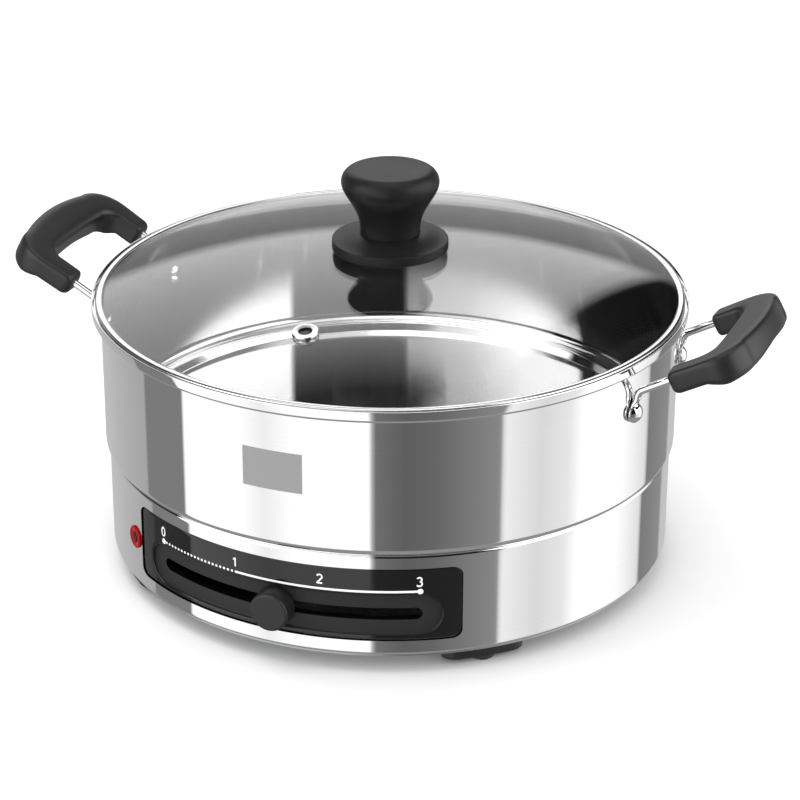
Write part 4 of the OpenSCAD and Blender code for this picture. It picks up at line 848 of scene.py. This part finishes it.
# %% Skids and buttons
FOOT_MID, FOOT_HALF_W, FOOT_ARC, FOOT_LOW, FOOT_H = 134.5, 7.5, 13.5, 2.4, 6.6
round_end = FOOT_ARC + FOOT_HALF_W * np.sin(np.linspace(0, np.pi / 2, 12))[1:]
s = np.concatenate([-round_end[::-1], np.linspace(-FOOT_ARC, FOOT_ARC, 12), round_end])
width = np.sqrt(np.clip(FOOT_HALF_W ** 2 - np.clip(np.abs(s) - FOOT_ARC, 0, None) ** 2, 0, None))
section = rounded([(-1, 0), (-1, 1), (1, 1), (1, 0)], [0.3, 0.02, 0.02, 0.3], 8, closed=True)
skids, buttons = [], []
pill = rounded([(0, 0), (6, 0), (6, 4.0), (0, 4.0)], [0, 0.9, 0.2, 0], 8)
for turn_to in np.radians(42 + 90.0 * np.arange(4)):
    a = turn_to + s / FOOT_MID
    r = FOOT_MID + width[:, None] * section[:, 0]
    z = FOOT_LOW + FOOT_H * section[:, 1] + 0 * r
    skids.append(np.stack([r * np.sin(a)[:, None], -r * np.cos(a)[:, None], z], -1))
    buttons.append(spun(pill, 64) + [FOOT_MID * np.sin(turn_to), -FOOT_MID * np.cos(turn_to), 0])
settle(surface("foot_skids", skids, close_v=True), "cooker", "black_resin", RESIN, "feet")
settle(surface("foot_buttons", buttons, close_v=True), "cooker", "pad_rubber", RUBBER, "foot_pads")

# %% [markdown]
# ## Pieces that stay as the CAD made them
# Screws, nuts and everything inside the base keep their CAD shapes. Each only gets its finish.

# %% Finishes for the CAD pieces
KEPT = {
    "bottom_plate": PLATED, "control_lever": PLATED, "fuse_clip": PLATED, "thermostat_shaft": BRASS,
    "inlet_pins": BRASS, "thermostat": CERAMIC, "thermal_fuse": CERAMIC, "heat_shield": FOIL,
    "heating_plate": CAST, "heating_element": SHEATH, "lamp_nut": RESIN, "inlet_socket": RESIN, "knob_seal": RUBBER,
}
FASTENERS = [
    "foot_screws", "panel_studs", "panel_nuts", "shaft_clip", "thermostat_screws", "tie_studs",
    "shield_nuts", "base_nuts", "inlet_screws", "inlet_nuts", "knob_washer", "knob_screw",
]
KEPT.update({node: SCREWS for node in FASTENERS})
for node, finish in KEPT.items():
    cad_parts[node].data.materials.clear()
    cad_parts[node].data.materials.append(finish)
print("CAD pieces with a finish:", len(KEPT))

# %% [markdown]
# ## Floor and light
# The pot stands on a plain pale floor. A mirror shows its room, so the light is a studio of tall soft panels
# round the pot: bright ones to the left and right, a dark gap where the camera stands. The outside of the wall
# mirrors what lies below the horizon, the floor of the pot and the glass mirror what lies above it, so the
# panels have three rows: LOW, MIDDLE and HIGH. Over them it is dark, and straight above is a pale ceiling.
# The floor is kept out of mirror reflections, as if the pot stood on a narrow stand.

# %% Floor
span = np.linspace(-9000, 9000, 3)
ground = surface("floor", [np.stack(np.broadcast_arrays(span[:, None], span, -0.02), -1)])
FLOOR = grained("pale floor", (0.90, 0.90, 0.90), (0.92, 0.92, 0.92), (0.85, 0.95), 40.0, 0.00001)
ground.data.materials.append(FLOOR)
ground.visible_glossy = False

# %% Studio panels round the pot
world = bpy.data.worlds.new("studio")
bpy.context.scene.world = world
world.use_nodes = True
tree = world.node_tree
way = add_node(tree, "ShaderNodeSeparateXYZ", {0: add_node(tree, "ShaderNodeTexCoord").outputs["Generated"]})
back_y = add_node(tree, "ShaderNodeMath", {0: way.outputs[1], 1: -1.0}, operation="MULTIPLY")
angle = add_node(tree, "ShaderNodeMath", {0: way.outputs[0], 1: back_y.outputs[0]}, operation="ARCTAN2")
share = add_node(tree, "ShaderNodeMapRange", {0: angle.outputs[0], 1: -np.pi, 2: np.pi, 3: 0.0, 4: 1.0})
LOW = [
    (-180, 0.56), (-130, 0.53), (-95, 0.41), (-91, 0.40), (-90, 0.21), (-67, 0.21), (-66, 1.15), (-40, 1.12),
    (-28, 0.92), (-16, 1.1), (14, 1.15), (16, 0.17), (28, 0.12), (40, 0.14), (66, 0.26), (68, 0.92), (84, 0.74),
    (97, 0.86), (105, 1.15), (124, 1.15), (145.5, 0.78), (147.5, 0.21), (170, 0.28), (173, 0.56),
]
MIDDLE = [
    (-180, 0.4), (-112, 0.36), (-98, 0.1), (-67, 0.01), (-65, 2.4), (14, 2.4), (16, 0.01), (66, 0.01), (68, 2.4),
    (125, 2.4), (142, 1.1), (146, 0.2), (170, 0.33),
]
HIGH = [
    (-180, 0.01), (-173.6, 0.01), (-172.8, 1.4), (-130, 1.4), (-124, 0.1), (-67, 0.01), (-65, 2.4), (-38, 2.3),
    (-22, 1.6), (-12, 1.2), (3, 0.95), (14, 0.8), (16, 0.01), (64, 0.01), (66, 2.4), (125, 2.4), (142, 1.1),
    (146, 0.05),
]


def panels(stops):
    """Brightness round the pot from pairs of degrees and value, joined by straight lines."""
    made = add_node(tree, "ShaderNodeValToRGB", {0: share.outputs[0]})
    while len(made.color_ramp.elements) < len(stops):
        made.color_ramp.elements.new(1.0)
    for stop, (degrees, value) in zip(made.color_ramp.elements, stops):
        stop.position = (degrees + 180) / 360
        stop.color = (value, value, value, 1)
    return made.outputs[0]


def above(start, end, below, over):
    """Goes from one colour to another as the ray's steepness, the sine of its rise, goes from start to end."""
    part = add_node(tree, "ShaderNodeMapRange", {0: way.outputs[2], 1: start, 2: end})
    return add_node(tree, "ShaderNodeMix", {0: part.outputs[0], 6: below, 7: over}, data_type="RGBA").outputs[2]


grey = lambda value: (value, value, value, 1)
room = above(-0.64, -0.52, grey(0.28), panels(LOW))
room = above(-0.08, 0.02, room, panels(MIDDLE))
room = above(0.19, 0.25, room, panels(HIGH))
room = above(0.66, 0.82, room, grey(0.10))
room = above(0.875, 0.92, room, grey(1.2))
path = add_node(tree, "ShaderNodeLightPath")
rays = {0: path.outputs["Is Camera Ray"], 1: path.outputs["Is Diffuse Ray"]}
plain = add_node(tree, "ShaderNodeMath", rays, operation="MAXIMUM")
seen = add_node(tree, "ShaderNodeMix", {0: plain.outputs[0], 6: room, 7: grey(1.2)}, data_type="RGBA")
tree.links.new(seen.outputs[2], tree.nodes["Background"].inputs["Color"])
tree.nodes["Background"].inputs["Strength"].default_value = 1.0

# %% Soft light from above
lamp_data = bpy.data.lights.new("overhead softbox", "AREA")
lamp_data.shape, lamp_data.size, lamp_data.size_y, lamp_data.energy = "RECTANGLE", 1.6, 1.2, 14.0
softbox = bpy.data.objects.new("overhead softbox", lamp_data)
softbox.location = (-0.55, -0.35, 1.9)
softbox.visible_glossy = False
softbox.rotation_euler = (np.radians(-10), np.radians(-16), 0)
bpy.context.scene.collection.objects.link(softbox)

# %% [markdown]
# ## Camera
# The camera was solved from the round edges of the pot in the picture: rim, seam and base. It looks down by
# 24.4 degrees from 22.5 degrees round to the right, through a long lens.

# %% Camera at the picture's angle
lens = bpy.data.cameras.new("camera")
lens.sensor_width, lens.lens = 36.0, 120.88
lens.shift_x = 0.0239
camera = bpy.data.objects.new("camera", lens)
camera.location = (0.4844, -1.1818, 0.6584)
camera.rotation_euler = (np.radians(65.623), 0, np.radians(22.5))
bpy.context.scene.collection.objects.link(camera)
bpy.context.scene.camera = camera
bpy.context.scene.view_settings.view_transform = "Standard"
